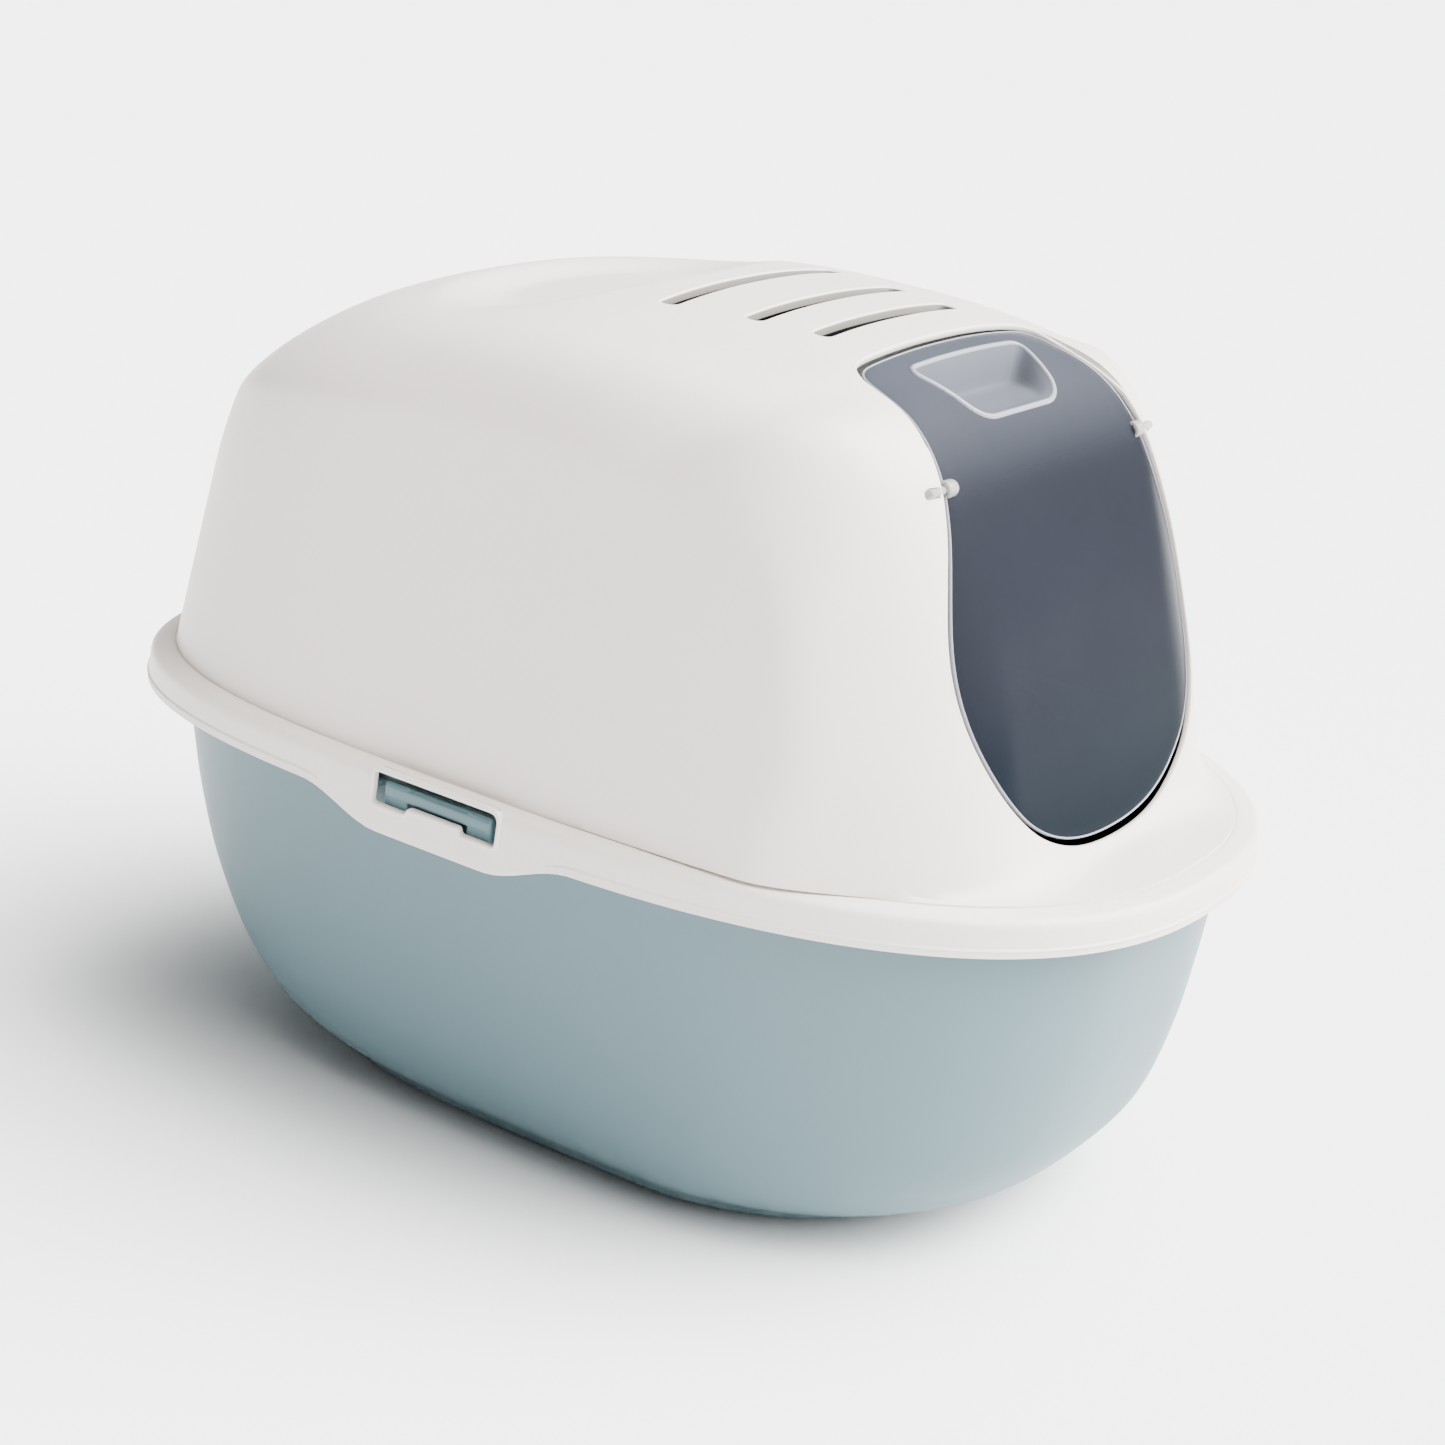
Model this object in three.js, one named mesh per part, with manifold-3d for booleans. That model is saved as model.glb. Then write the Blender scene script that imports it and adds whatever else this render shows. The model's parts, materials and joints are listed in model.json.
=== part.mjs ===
// Cat litter box with a lift-off hood, a swinging flap and a filter under the roof vents.
// Millimetres. +Z is up, the entrance faces -Y, the origin is under the middle of the tray.
import * as THREE from 'three';
import { mergeVertices } from 'three/addons/utils/BufferGeometryUtils.js';
import Module from 'manifold-3d';

// ---- driving sizes ----
const LENGTH = 540;            // over the hood's rim, front to back
const WIDTH = 398;             // over the hood's rim, side to side
const HEIGHT = 404.5;          // floor to the top of the roof
const WALL = 2.4;              // moulded wall of the tray and the hood
const RIM_TOP = 192;           // where the hood's wall meets the rim's ledge
const RIM_BOTTOM = 173;        // lower edge of the hood's rim
const RIM_DIP = 12;            // how far the rim hangs lower round each side catch
const LEDGE = 12;              // width of the rim's ledge outside the hood's wall
const SIDE_LEAN = 0.123;       // inward lean of the hood's sides, mm per mm of height
const ROOF_CROWN = 24;         // drop of the roof from its middle to its side edges
const CROWN_HALF = 164;        // half-width at which that drop is reached
const FLAT_FRONT_HALF = 80;    // the front is flat across this half-width, then turns back
const FLAP_INSET = 2.6;        // the flap lies this far behind the hood's outer face
const FLAP_THIN = 1.4;         // lower part of the flap
const FLAP_THICK = 3.9;        // upper part of the flap, heavy enough to balance it
const GRIP_WALL = 2.2;
const FLAP_GAP = 2.6;          // between the flap's edge and the opening
const PIVOT = { y: -152, z: 357 };
const PIN_RADIUS = 2;
const PIN_PLAY = 0.1;
const FIT_GAP = 0.4;           // between pieces that touch on the real box
const CATCH_MIDDLE = 22;       // y of the side catches
const CATCH_SLOT = 69;         // length of each catch slot
const VENTS = [{ y: 12, half: 74 }, { y: -29, half: 66 }, { y: -61, half: 60 }];
const VENT_WIDTH = 7;
const DISH = { y: 92, halfX: 122, halfY: 60, depth: 10 };

// ---- materials ----
const HOOD_PLASTIC = { color: 0xece8e4, roughness: 0.42, metalness: 0 };
const TRAY_PLASTIC = { color: 0xa3bfc4, roughness: 0.45, metalness: 0 };
const CATCH_PLASTIC = { color: 0x7f9ea4, roughness: 0.45, metalness: 0 };
const SMOKED_PLASTIC = { color: 0x7c8592, roughness: 0.12, metalness: 0 };
const PIN_PLASTIC = { color: 0xd9dbdd, roughness: 0.3, metalness: 0 };
const FILTER_PLASTIC = { color: 0xd8d6d2, roughness: 0.5, metalness: 0 };
const CARBON_FOAM = { color: 0x26282a, roughness: 0.95, metalness: 0 };

const HALF_STEPS = 30;         // points along half of each plan outline
const wasm = await Module();
wasm.setup();

// ---- solids from three.js geometry ----
function toSolid(geometry) {
  const bare = new THREE.BufferGeometry();
  bare.setAttribute('position', geometry.getAttribute('position').clone());
  bare.setIndex(geometry.getIndex());
  const merged = mergeVertices(bare, 1e-4);
  return new wasm.Manifold(new wasm.Mesh({
    numProp: 3,
    vertProperties: new Float32Array(merged.getAttribute('position').array),
    triVerts: new Uint32Array(merged.getIndex().array),
  }));
}

function box(x0, x1, y0, y1, z0, z1) {
  const geometry = new THREE.BoxGeometry(x1 - x0, y1 - y0, z1 - z0);
  geometry.translate((x0 + x1) / 2, (y0 + y1) / 2, (z0 + z1) / 2);
  return toSolid(geometry);
}

// A round bar along X.
function barAlongX(x0, x1, y, z, radius, sides = 24) {
  const geometry = new THREE.CylinderGeometry(radius, radius, x1 - x0, sides);
  geometry.rotateZ(Math.PI / 2);
  geometry.translate((x0 + x1) / 2, y, z);
  return toSolid(geometry);
}

// A closed solid through rings of points, each ring anticlockwise seen from the last one.
function loft(rings) {
  const count = rings[0].length;
  const positions = rings.flat(2);
  const index = [];
  for (let ring = 0; ring + 1 < rings.length; ring++) {
    for (let i = 0; i < count; i++) {
      const low = ring * count + i;
      const lowNext = ring * count + (i + 1) % count;
      index.push(low, lowNext, lowNext + count, low, lowNext + count, low + count);
    }
  }
  for (const [ring, facingDown] of [[0, true], [rings.length - 1, false]]) {
    const middle = positions.length / 3;
    for (let axis = 0; axis < 3; axis++) {
      positions.push(rings[ring].reduce((sum, point) => sum + point[axis], 0) / count);
    }
    for (let i = 0; i < count; i++) {
      const here = ring * count + i;
      const next = ring * count + (i + 1) % count;
      index.push(middle, facingDown ? next : here, facingDown ? here : next);
    }
  }
  const geometry = new THREE.BufferGeometry();
  geometry.setAttribute('position', new THREE.Float32BufferAttribute(positions, 3));
  geometry.setIndex(index);
  return toSolid(geometry);
}

// A flat outline (a list of [u, v]) extruded: along Z it lies in XY, along -Y it lies in XZ.
function prism(points, from, to, along = 'z') {
  const shape = new THREE.Shape(points.map(([u, v]) => new THREE.Vector2(u, v)));
  const geometry = new THREE.ExtrudeGeometry(shape, { depth: to - from, bevelEnabled: false });
  geometry.translate(0, 0, from);
  if (along === 'y') geometry.rotateX(Math.PI / 2);
  return toSolid(geometry);
}

function united(solids) {
  return solids.reduce((sum, solid) => sum.add(solid));
}

function mirroredPair(make) {
  return united([make(-1), make(1)]);
}

function smoothStep(value) {
  const t = Math.min(1, Math.max(0, value));
  return t * t * (3 - 2 * t);
}

// ---- plan outlines ----
// Points spread evenly along an open line.
function spread(line, steps) {
  const lengths = [0];
  for (let i = 1; i < line.length; i++) {
    lengths.push(lengths[i - 1] + Math.hypot(line[i][0] - line[i - 1][0], line[i][1] - line[i - 1][1]));
  }
  const result = [];
  let at = 0;
  for (let step = 0; step <= steps; step++) {
    const wanted = lengths[lengths.length - 1] * step / steps;
    while (at + 2 < line.length && lengths[at + 1] < wanted) at++;
    const t = (wanted - lengths[at]) / (lengths[at + 1] - lengths[at]);
    result.push([0, 1].map((k) => line[at][k] + t * (line[at + 1][k] - line[at][k])));
  }
  return result;
}

// A rounded oblong seen from above, squarer at the back than at the front.
function outline(halfWidth, front, rear, frontPower = 2.4, rearPower = 3.6) {
  const right = [];
  for (let i = 0; i <= 400; i++) {
    const along = -Math.cos(Math.PI * i / 400);
    const across = Math.sin(Math.PI * i / 400);
    const power = along < 0 ? frontPower : rearPower;
    const reach = along < 0 ? front : rear;
    right.push([
      halfWidth * across ** (2 / power),
      Math.sign(along) * reach * Math.abs(along) ** (2 / power),
    ]);
  }
  const half = spread(right, HALF_STEPS);
  half[0][0] = 0;
  half[HALF_STEPS][0] = 0;
  const left = half.slice(1, -1).reverse().map(([x, y]) => [-x, y]);
  return half.concat(left);
}

function ringAt(z, points) {
  return points.map(([x, y]) => [x, y, typeof z === 'function' ? z(x, y) : z]);
}

// ---- the hood's side-view line, from low at the back over the roof to low at the front ----
const BACK = LENGTH / 2;
const HOOD_LINE = [
  [BACK + 6, 178], [BACK + 6, 268], [236, 327], [216, 349], [190, 366], [152, 381], [110, 392],
  [58, HEIGHT - 3.4], [10, HEIGHT], [-40, HEIGHT - 0.5], [-72, HEIGHT - 2.3], [-95, HEIGHT - 5],
  [-112, 394], [-126, 387], [-137, 379], [-147, 369.5], [-155, 359.5], [-162, 347.5], [-170, 331],
  [-181, 305], [-192, 275], [-202, 245], [-210, 217], [-219, RIM_TOP], [-224.5, 178],
];

// The line moved inwards, square to itself.
function insetLine(line, depthAt) {
  return line.map((point, i) => {
    const before = line[Math.max(0, i - 1)];
    const after = line[Math.min(line.length - 1, i + 1)];
    const length = Math.hypot(after[0] - before[0], after[1] - before[1]);
    const depth = depthAt(point);
    return [
      point[0] - depth * (after[1] - before[1]) / length,
      point[1] + depth * (after[0] - before[0]) / length,
    ];
  });
}

function crownDrop(x, y) {
  return ROOF_CROWN * (Math.abs(x) / CROWN_HALF) ** 2.2 * smoothStep((y + 145) / 50);
}

function frontTurn(x, y, z) {
  const sharpness = 0.0072 + 0.0012 * smoothStep((250 - z) / 58);
  const past = Math.max(0, Math.abs(x) - FLAT_FRONT_HALF);
  return sharpness * past * past * smoothStep((20 - y) / 115);
}

// Everything under the hood's roof and behind its front, cut off by nothing at the sides.
function profileSolid(depthAt) {
  const stations = [190, 180, 170, 160, 148, 134, 118, 100, 80, 55, 28];
  const xs = [...stations.map((x) => -x), 0, ...stations.reverse()];
  const line = insetLine(HOOD_LINE, typeof depthAt === 'function' ? depthAt : () => depthAt);
  return loft(xs.map((x) => line.map(([y, z]) => [x, y + frontTurn(x, y, z), z - crownDrop(x, y)])));
}

// Everything between the hood's sides and in front of its back.
function sideSolid(depth, bottom) {
  const levels = [bottom, 215, 250, 290, 315, 337, 360, 385, HEIGHT + 10];
  return loft(levels.map((z) => {
    const rise = z - RIM_TOP;
    const halfWidth = WIDTH / 2 - LEDGE - SIDE_LEAN * rise;
    const rear = BACK - 11 - 0.12 * rise - 0.003 * Math.max(0, z - 280) ** 2;
    return ringAt(z, outline(halfWidth - depth, 360 - depth, rear - depth));
  }));
}

function roofHeight(x, y) {
  let at = 2;
  while (HOOD_LINE[at + 1][0] > y) at++;
  const [y0, z0] = HOOD_LINE[at];
  const [y1, z1] = HOOD_LINE[at + 1];
  return z0 + (z1 - z0) * (y - y0) / (y1 - y0) - crownDrop(x, y);
}

// The shallow dish pressed into the roof, grown by a wall for its underside.
function dishSolid(grow) {
  const levels = [[0.3, 1], [0.62, 1], [0.86, 0.55], [1, 0.06], [1.12, -0.8]];
  const rings = levels.map(([size, depth]) => ringAt(
    (x, y) => roofHeight(x, y) - DISH.depth * depth - grow,
    outline((DISH.halfX + grow) * size, (DISH.halfY + grow) * size, (DISH.halfY + grow) * size, 2, 2)
      .map(([x, y]) => [x, y + DISH.y]),
  ));
  rings.push(rings[rings.length - 1].map(([x, y]) => [x, y, HEIGHT + 20]));
  return loft(rings);
}

// ---- the entrance ----
// Half of the entrance, seen from the front: [half-width, height].
const ENTRANCE_FRONT = [
  [0, 195], [22, 195.6], [38, 197.6], [52, 201.2], [66, 206.5], [79, 214], [90, 223.5], [99, 234],
  [106, 245], [111.5, 258], [115, 272], [116, 288], [114, 303], [110, 318], [105, 334],
  [100, 352], [97, 364], [94, 375],
];
// The rest of it, over the roof, seen from above: [half-width, y].
const ENTRANCE_TOP = [[97, -160], [94, -143], [90, -125], [87, -110], [84, -99], [79, -93], [70, -90]];

// A half outline moved inwards by the gap, then mirrored into a whole one.
function wholeOutline(half, gap) {
  const moved = half.map((point, i) => {
    const before = half[Math.max(0, i - 1)];
    const after = half[Math.min(half.length - 1, i + 1)];
    const length = Math.hypot(after[0] - before[0], after[1] - before[1]);
    const side = Math.sign(after[1] - before[1]);
    return [
      Math.max(0, point[0] - gap * Math.abs(after[1] - before[1]) / length),
      point[1] + gap * side * Math.abs(after[0] - before[0]) / length * Math.sign(after[0] - before[0]),
    ];
  });
  const left = moved.filter(([u]) => u > 0).reverse().map(([u, v]) => [-u, v]);
  return moved.concat(left);
}

function entranceSolid(gap) {
  const front = wholeOutline(ENTRANCE_FRONT, gap);
  const top = wholeOutline(ENTRANCE_TOP, gap);
  return prism(front, 124, 320, 'y').add(prism(top, PIVOT.z, HEIGHT + 20));
}

// ---- pieces ----
function rimBottom(x, y) {
  const dip = smoothStep((99 - y) / 45) * smoothStep((y + 52) / 45);
  return RIM_BOTTOM - (Math.abs(x) > WIDTH / 4 ? RIM_DIP * dip : 0);
}

function rimSolid(depth, lower) {
  const reach = (inset) => outline(WIDTH / 2 - inset - depth, BACK - inset - depth, BACK - inset - depth);
  const ledgeEdge = outline(WIDTH / 2 - LEDGE - depth, BACK - 14 - depth, BACK - 11 - depth);
  return loft([
    ringAt((x, y) => rimBottom(x, y) - lower, reach(0)),
    ringAt(RIM_TOP - 6 - depth, reach(1)),
    ringAt(RIM_TOP - 2 - depth, reach(3.5)),
    ringAt(RIM_TOP - depth, ledgeEdge),
  ]);
}

// The curved foot that spreads from the front wall out over the ledge.
function frontFoot() {
  const steps = [[0, 0.02], [1.5, 0.35], [4, 0.58], [9, 0.8], [16, 0.93], [26, 1]];
  return loft(steps.map(([rise, t]) => ringAt(
    RIM_TOP - 0.6 + rise,
    outline(WIDTH / 2 - LEDGE - 1 - 3 * t, BACK - 14 - 40 * t, 150, 2.4 + 1.2 * t),
  )));
}

function catchSlot(side) {
  const half = CATCH_SLOT / 2;
  const outer = side * (WIDTH / 2 + 8);
  const inner = side * (WIDTH / 2 - 10);
  const [x0, x1] = [Math.min(inner, outer), Math.max(inner, outer)];
  const tongue = box(x0, x1, CATCH_MIDDLE - 14.5, CATCH_MIDDLE + 14.5, 170, 180);
  return box(x0, x1, CATCH_MIDDLE - half, CATCH_MIDDLE + half, 177, 188).subtract(tongue);
}

function catchLip(side) {
  const half = CATCH_SLOT / 2 + 2;
  const outer = side * (WIDTH / 2 + 1);
  const inner = side * (WIDTH / 2 - WALL + 0.2);
  return box(Math.min(inner, outer), Math.max(inner, outer), CATCH_MIDDLE - half, CATCH_MIDDLE + half, 175, 189.4);
}

function ventSlot({ y, half }) {
  const slot = [];
  for (const end of [1, -1]) {
    for (let step = 0; step <= 6; step++) {
      const angle = end * Math.PI / 2 - end * Math.PI * step / 6;
      slot.push([
        end * (half - VENT_WIDTH / 2) + end * Math.cos(angle) * VENT_WIDTH / 2,
        y + Math.sin(angle) * VENT_WIDTH / 2,
      ]);
    }
  }
  return prism(slot.reverse(), 370, HEIGHT + 20);
}

function pinSeat(side) {
  const [x0, x1] = side < 0 ? [-112, -101] : [101, 112];
  return box(x0, x1, PIVOT.y - 12, PIVOT.y + 6, PIVOT.z - 7, PIVOT.z + 7);
}

function pinGroove(side) {
  const half = PIN_RADIUS + PIN_PLAY;
  const [x0, x1] = side < 0 ? [-109, -98] : [98, 109];
  return box(x0, x1, PIVOT.y - 20, PIVOT.y + half, PIVOT.z - half, PIVOT.z + half);
}

function filterRail(side) {
  const inner = side * (FILTER.half + 1);
  const outer = side * (FILTER.half + 3);
  return box(Math.min(inner, outer), Math.max(inner, outer), -60, 12, 385, HEIGHT);
}

function hoodShell() {
  const outside = profileSolid(0).intersect(sideSolid(0, 184)).add(rimSolid(0, 0)).add(frontFoot());
  const inside = profileSolid(WALL).intersect(sideSolid(WALL, 180)).subtract(dishSolid(WALL));
  const fittings = mirroredPair(pinSeat).add(mirroredPair(filterRail)).intersect(profileSolid(0.4));
  return outside
    .subtract(dishSolid(0))
    .subtract(inside)
    .subtract(rimSolid(WALL, 12))
    .subtract(entranceSolid(0))
    .add(fittings)
    .add(mirroredPair(catchLip))
    .subtract(mirroredPair(catchSlot))
    .subtract(united(VENTS.map(ventSlot)))
    .subtract(mirroredPair(pinGroove));
}

// Tray sections from the foot up: [height, half-width, front, rear].
const TRAY_SECTIONS = [
  [6, 135, 181, 157], [14, 145, 200, 174], [27, 154.5, 219, 193], [50, 163, 235, 213], [85, 170.5, 244, 231],
  [120, 177, 248, 241], [150, 182, 250, 246], [RIM_BOTTOM, 185.5, 251, 249], [186.8, 188.3, 252, 253],
];

function traySolid(depth, raise) {
  const foot = [raise, 131 - depth, 175, 150];
  const levels = [foot, ...TRAY_SECTIONS.map(([z, ...rest]) => [z + raise * (1 - z / 190), ...rest])];
  if (depth) levels[levels.length - 1][0] += 4;
  const sides = levels.map(([z, half, , rear]) => ringAt(z, outline(half - depth, 340 - depth, rear - depth)));
  const fronts = levels.map(([z, half, front]) => ringAt(z, outline(half + 6 - z / 42 - depth, front - depth, 300, 2.6)));
  return loft(sides).intersect(loft(fronts));
}

function catchShelf(side) {
  const inner = side * 180;
  const outer = side * (WIDTH / 2 - 4);
  return box(Math.min(inner, outer), Math.max(inner, outer), CATCH_MIDDLE - 32, CATCH_MIDDLE + 32, 161.4, 163.4);
}

function catchNotch(side) {
  const inner = side * 188.7;
  const outer = side * (WIDTH / 2);
  return box(Math.min(inner, outer), Math.max(inner, outer), CATCH_MIDDLE - 36, CATCH_MIDDLE + 36, 179, 190);
}

function baseTray() {
  const flangeEdge = outline(WIDTH / 2 - WALL - 2, BACK - WALL - 2, BACK - WALL - 2);
  const flange = loft([ringAt(180, flangeEdge), ringAt(182.4, flangeEdge)]);
  const foot = loft([
    ringAt(0, outline(126, 167, 143, 2.2, 2.6)),
    ringAt(4, outline(128, 169, 145, 2.2, 2.6)),
    ringAt(9, outline(128, 169, 145, 2.2, 2.6)),
  ]);
  return traySolid(0, 3)
    .add(foot)
    .add(flange)
    .subtract(mirroredPair(catchNotch))
    .add(mirroredPair(catchShelf))
    .subtract(traySolid(WALL, 3 + WALL));
}

// The grip in the flap: a tapered cup, wider at the back. Grow gives its outside.
function gripCup(grow, top) {
  const corners = (back, front, yBack, yFront, z) => [
    [-front - grow, yFront - grow, z], [front + grow, yFront - grow, z],
    [back + grow, yBack + grow, z], [-back - grow, yBack + grow, z],
  ];
  return loft([corners(36, 28, -112, -130, 375 - grow), corners(51, 37, -105, -137, top)]);
}

function flapEye(side) {
  const [x0, x1] = side < 0 ? [-96.5, -87] : [87, 96.5];
  return barAlongX(x0, x1, PIVOT.y, PIVOT.z, 4.6);
}

function swingFlap() {
  const thickness = ([, z]) => FLAP_THIN + (FLAP_THICK - FLAP_THIN) * smoothStep((z - 335) / 15);
  const front = profileSolid(FLAP_INSET);
  const behind = profileSolid((point) => FLAP_INSET + thickness(point));
  const cup = gripCup(GRIP_WALL, HEIGHT).intersect(front);
  const rib = box(-66, 66, -97, -93.5, 389, HEIGHT).intersect(front);
  return front
    .subtract(behind)
    .intersect(entranceSolid(FLAP_GAP))
    .add(cup)
    .add(rib)
    .add(mirroredPair(flapEye))
    .subtract(gripCup(0, HEIGHT))
    .subtract(barAlongX(-110, 110, PIVOT.y, PIVOT.z, PIN_RADIUS + PIN_PLAY)
      .intersect(mirroredPair((side) => box(...(side < 0 ? [-120, -89] : [89, 120]), -170, -130, 340, 370))));
}

function hingePin(side) {
  const [x0, x1] = side < 0 ? [-108.5, -89.5] : [89.5, 108.5];
  return barAlongX(x0, x1, PIVOT.y, PIVOT.z, PIN_RADIUS);
}

// A springy frame: a bar across the top, two legs and a foot that stands on the tray's shelf.
function sideCatch(side) {
  const inner = side * (WIDTH / 2 - 6.6);
  const outer = side * (WIDTH / 2 - 4.4);
  const [x0, x1] = [Math.min(inner, outer), Math.max(inner, outer)];
  const frame = box(x0, x1, CATCH_MIDDLE - 30, CATCH_MIDDLE + 30, 163.4 + FIT_GAP, 186.6);
  return frame.subtract(box(x0 - 1, x1 + 1, CATCH_MIDDLE - 22, CATCH_MIDDLE + 22, 169, 181));
}

const FILTER = { half: 78, front: -71, back: 22, bottom: 377, top: 389 };

function filterHolder() {
  const { half, front, back, bottom, top } = FILTER;
  const slots = [-48, -24.5, -1].map((y) => box(-half + 12, half - 12, y - 8, y + 8, bottom - 1, bottom + 3));
  return box(-half, half, front, back, bottom, top)
    .subtract(box(-half + 1.8, half - 1.8, front + 1.8, back - 1.8, bottom + 1.8, top + 1))
    .subtract(united(slots));
}

function filterPad() {
  const { half, front, back, bottom, top } = FILTER;
  const inset = 1.8 + FIT_GAP;
  return box(-half + inset, half - inset, front + inset, back - inset, bottom + 1.8 + 0.3, top - 1);
}

// ---- the assembly ----
function addPiece(group, name, solid, look) {
  const mesh = solid.getMesh();
  const geometry = new THREE.BufferGeometry();
  geometry.setAttribute('position', new THREE.Float32BufferAttribute(mesh.vertProperties, 3));
  geometry.setIndex(new THREE.Uint32BufferAttribute(mesh.triVerts, 1));
  geometry.computeVertexNormals();
  const piece = new THREE.Mesh(geometry, new THREE.MeshStandardMaterial(look));
  piece.name = name;
  group.add(piece);
}

const litterBox = new THREE.Group();
litterBox.name = 'hooded_litter_box';
addPiece(litterBox, 'base_tray', baseTray(), TRAY_PLASTIC);
addPiece(litterBox, 'hood_shell', hoodShell(), HOOD_PLASTIC);
addPiece(litterBox, 'swing_flap', swingFlap(), SMOKED_PLASTIC);
for (const [side, word] of [[-1, 'left'], [1, 'right']]) {
  addPiece(litterBox, `hinge_pin_${word}`, hingePin(side), PIN_PLASTIC);
  addPiece(litterBox, `side_catch_${word}`, sideCatch(side), CATCH_PLASTIC);
}
addPiece(litterBox, 'filter_holder', filterHolder(), FILTER_PLASTIC);
addPiece(litterBox, 'filter_pad', filterPad(), CARBON_FOAM);

export default litterBox;
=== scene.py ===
# %% [markdown]
# # A hooded cat litter box
# The object is a blue-green tray, a white hood that lifts off it, and a smoked flap that swings
# in the hood's entrance. The CAD frame already holds every piece at its true size. This file
# gives the big moulded shells their smooth shape, adds the small rolled edges and lips, and
# gives every piece its plastic.

# %% Load the frame
import json
import math

import bpy
import numpy as np
from mathutils import Matrix, Vector
from mathutils.bvhtree import BVHTree

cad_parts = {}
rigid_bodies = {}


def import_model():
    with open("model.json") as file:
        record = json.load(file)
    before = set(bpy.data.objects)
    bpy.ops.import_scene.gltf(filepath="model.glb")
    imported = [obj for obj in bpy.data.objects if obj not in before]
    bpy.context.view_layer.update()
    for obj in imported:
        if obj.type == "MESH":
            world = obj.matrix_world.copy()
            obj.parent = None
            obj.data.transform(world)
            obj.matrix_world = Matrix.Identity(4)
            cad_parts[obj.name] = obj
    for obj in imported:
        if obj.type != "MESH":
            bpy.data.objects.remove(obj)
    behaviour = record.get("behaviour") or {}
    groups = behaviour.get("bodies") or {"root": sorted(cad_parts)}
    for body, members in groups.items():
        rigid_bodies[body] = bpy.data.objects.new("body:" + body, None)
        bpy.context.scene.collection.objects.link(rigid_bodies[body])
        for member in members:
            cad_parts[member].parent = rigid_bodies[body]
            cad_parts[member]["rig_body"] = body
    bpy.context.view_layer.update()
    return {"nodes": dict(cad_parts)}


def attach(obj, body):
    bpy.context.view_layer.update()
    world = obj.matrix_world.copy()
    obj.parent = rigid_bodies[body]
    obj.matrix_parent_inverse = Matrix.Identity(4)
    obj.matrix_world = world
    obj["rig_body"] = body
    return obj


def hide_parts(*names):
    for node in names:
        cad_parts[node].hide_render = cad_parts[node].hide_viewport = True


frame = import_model()
bpy.ops.object.select_all(action="DESELECT")
MM = 0.001

# %% [markdown]
# ## Camera
# The box is looked at from a little above and from one front corner, where its side, front and
# roof all show. The camera could be placed by hand; here it is put at an azimuth, an elevation and
# a distance from the middle of the box, and rolled a little, so that each can be changed alone.

# %% Camera
AZIMUTH, ELEVATION, ROLL = (math.radians(a) for a in (-59.3, 18.6, 7.5))
DISTANCE, MIDDLE_HEIGHT = 1.527, 0.205
back = Vector((
    math.sin(AZIMUTH) * math.cos(ELEVATION),
    -math.cos(AZIMUTH) * math.cos(ELEVATION),
    math.sin(ELEVATION),
))
level_right = Vector((math.cos(AZIMUTH), math.sin(AZIMUTH), 0))
level_up = back.cross(level_right)
right = math.cos(ROLL) * level_right + math.sin(ROLL) * level_up
up = math.cos(ROLL) * level_up - math.sin(ROLL) * level_right
bpy.ops.object.camera_add()
camera = bpy.context.object
camera.matrix_world = Matrix.Translation(Vector((0, 0, MIDDLE_HEIGHT)) + back * DISTANCE) @ Matrix(
    (right, up, back)).transposed().to_4x4()
camera.data.lens = 77.68
camera.data.sensor_width = 36
camera.data.shift_x = -0.001
camera.data.shift_y = -0.028
bpy.context.scene.camera = camera
print("camera at", [round(c, 3) for c in camera.matrix_world.translation])

# %% [markdown]
# ## Floor and light
# White plastic only shows its shape when one side is lit more than the other. The whole sky is
# the lamp here: it is bright above, in front and to the right, and dimmer elsewhere, like a
# room-sized soft box. The roof and the front are bright, the long side is a little darker, and
# no shadow has a hard edge. A lamp would be simpler, but its shadow would be heavier.

# %% Floor and light
FLOOR_SIZE = 60
KEY_DIRECTION = Vector((0.34, -0.53, 0.775)).normalized()
KEY_NARROWNESS, KEY_STRENGTH, FILL_STRENGTH = 7.0, 32.0, 0.22
bpy.ops.mesh.primitive_plane_add(size=FLOOR_SIZE, location=(0, 0, -0.0005))
floor = bpy.context.object
floor.name = "floor"
floor_paint = bpy.data.materials.new("floor_paint")
floor_paint.use_nodes = True
floor_shader = floor_paint.node_tree.nodes["Principled BSDF"]
floor_shader.inputs["Base Color"].default_value = (0.93, 0.93, 0.93, 1)
floor_shader.inputs["Roughness"].default_value = 0.9
floor.data.materials.append(floor_paint)

world = bpy.data.worlds.new("studio")
bpy.context.scene.world = world
world.use_nodes = True
sky = world.node_tree.nodes
sky_link = world.node_tree.links.new
direction = sky.new("ShaderNodeTexCoord")
toward_key = sky.new("ShaderNodeVectorMath")
toward_key.operation = "DOT_PRODUCT"
toward_key.inputs[1].default_value = KEY_DIRECTION
front_only = sky.new("ShaderNodeMath")
front_only.operation = "MAXIMUM"
front_only.inputs[1].default_value = 0.0
narrowed = sky.new("ShaderNodeMath")
narrowed.operation = "POWER"
narrowed.inputs[1].default_value = KEY_NARROWNESS
brightness = sky.new("ShaderNodeMath")
brightness.operation = "MULTIPLY_ADD"
brightness.inputs[1].default_value = KEY_STRENGTH
brightness.inputs[2].default_value = FILL_STRENGTH
sky_link(direction.outputs["Generated"], toward_key.inputs[0])
sky_link(toward_key.outputs["Value"], front_only.inputs[0])
sky_link(front_only.outputs[0], narrowed.inputs[0])
sky_link(narrowed.outputs[0], brightness.inputs[0])
sky_link(brightness.outputs[0], sky["Background"].inputs["Strength"])
sky["Background"].inputs["Color"].default_value = (1, 1, 1, 1)
print("world nodes:", len(sky))

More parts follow.
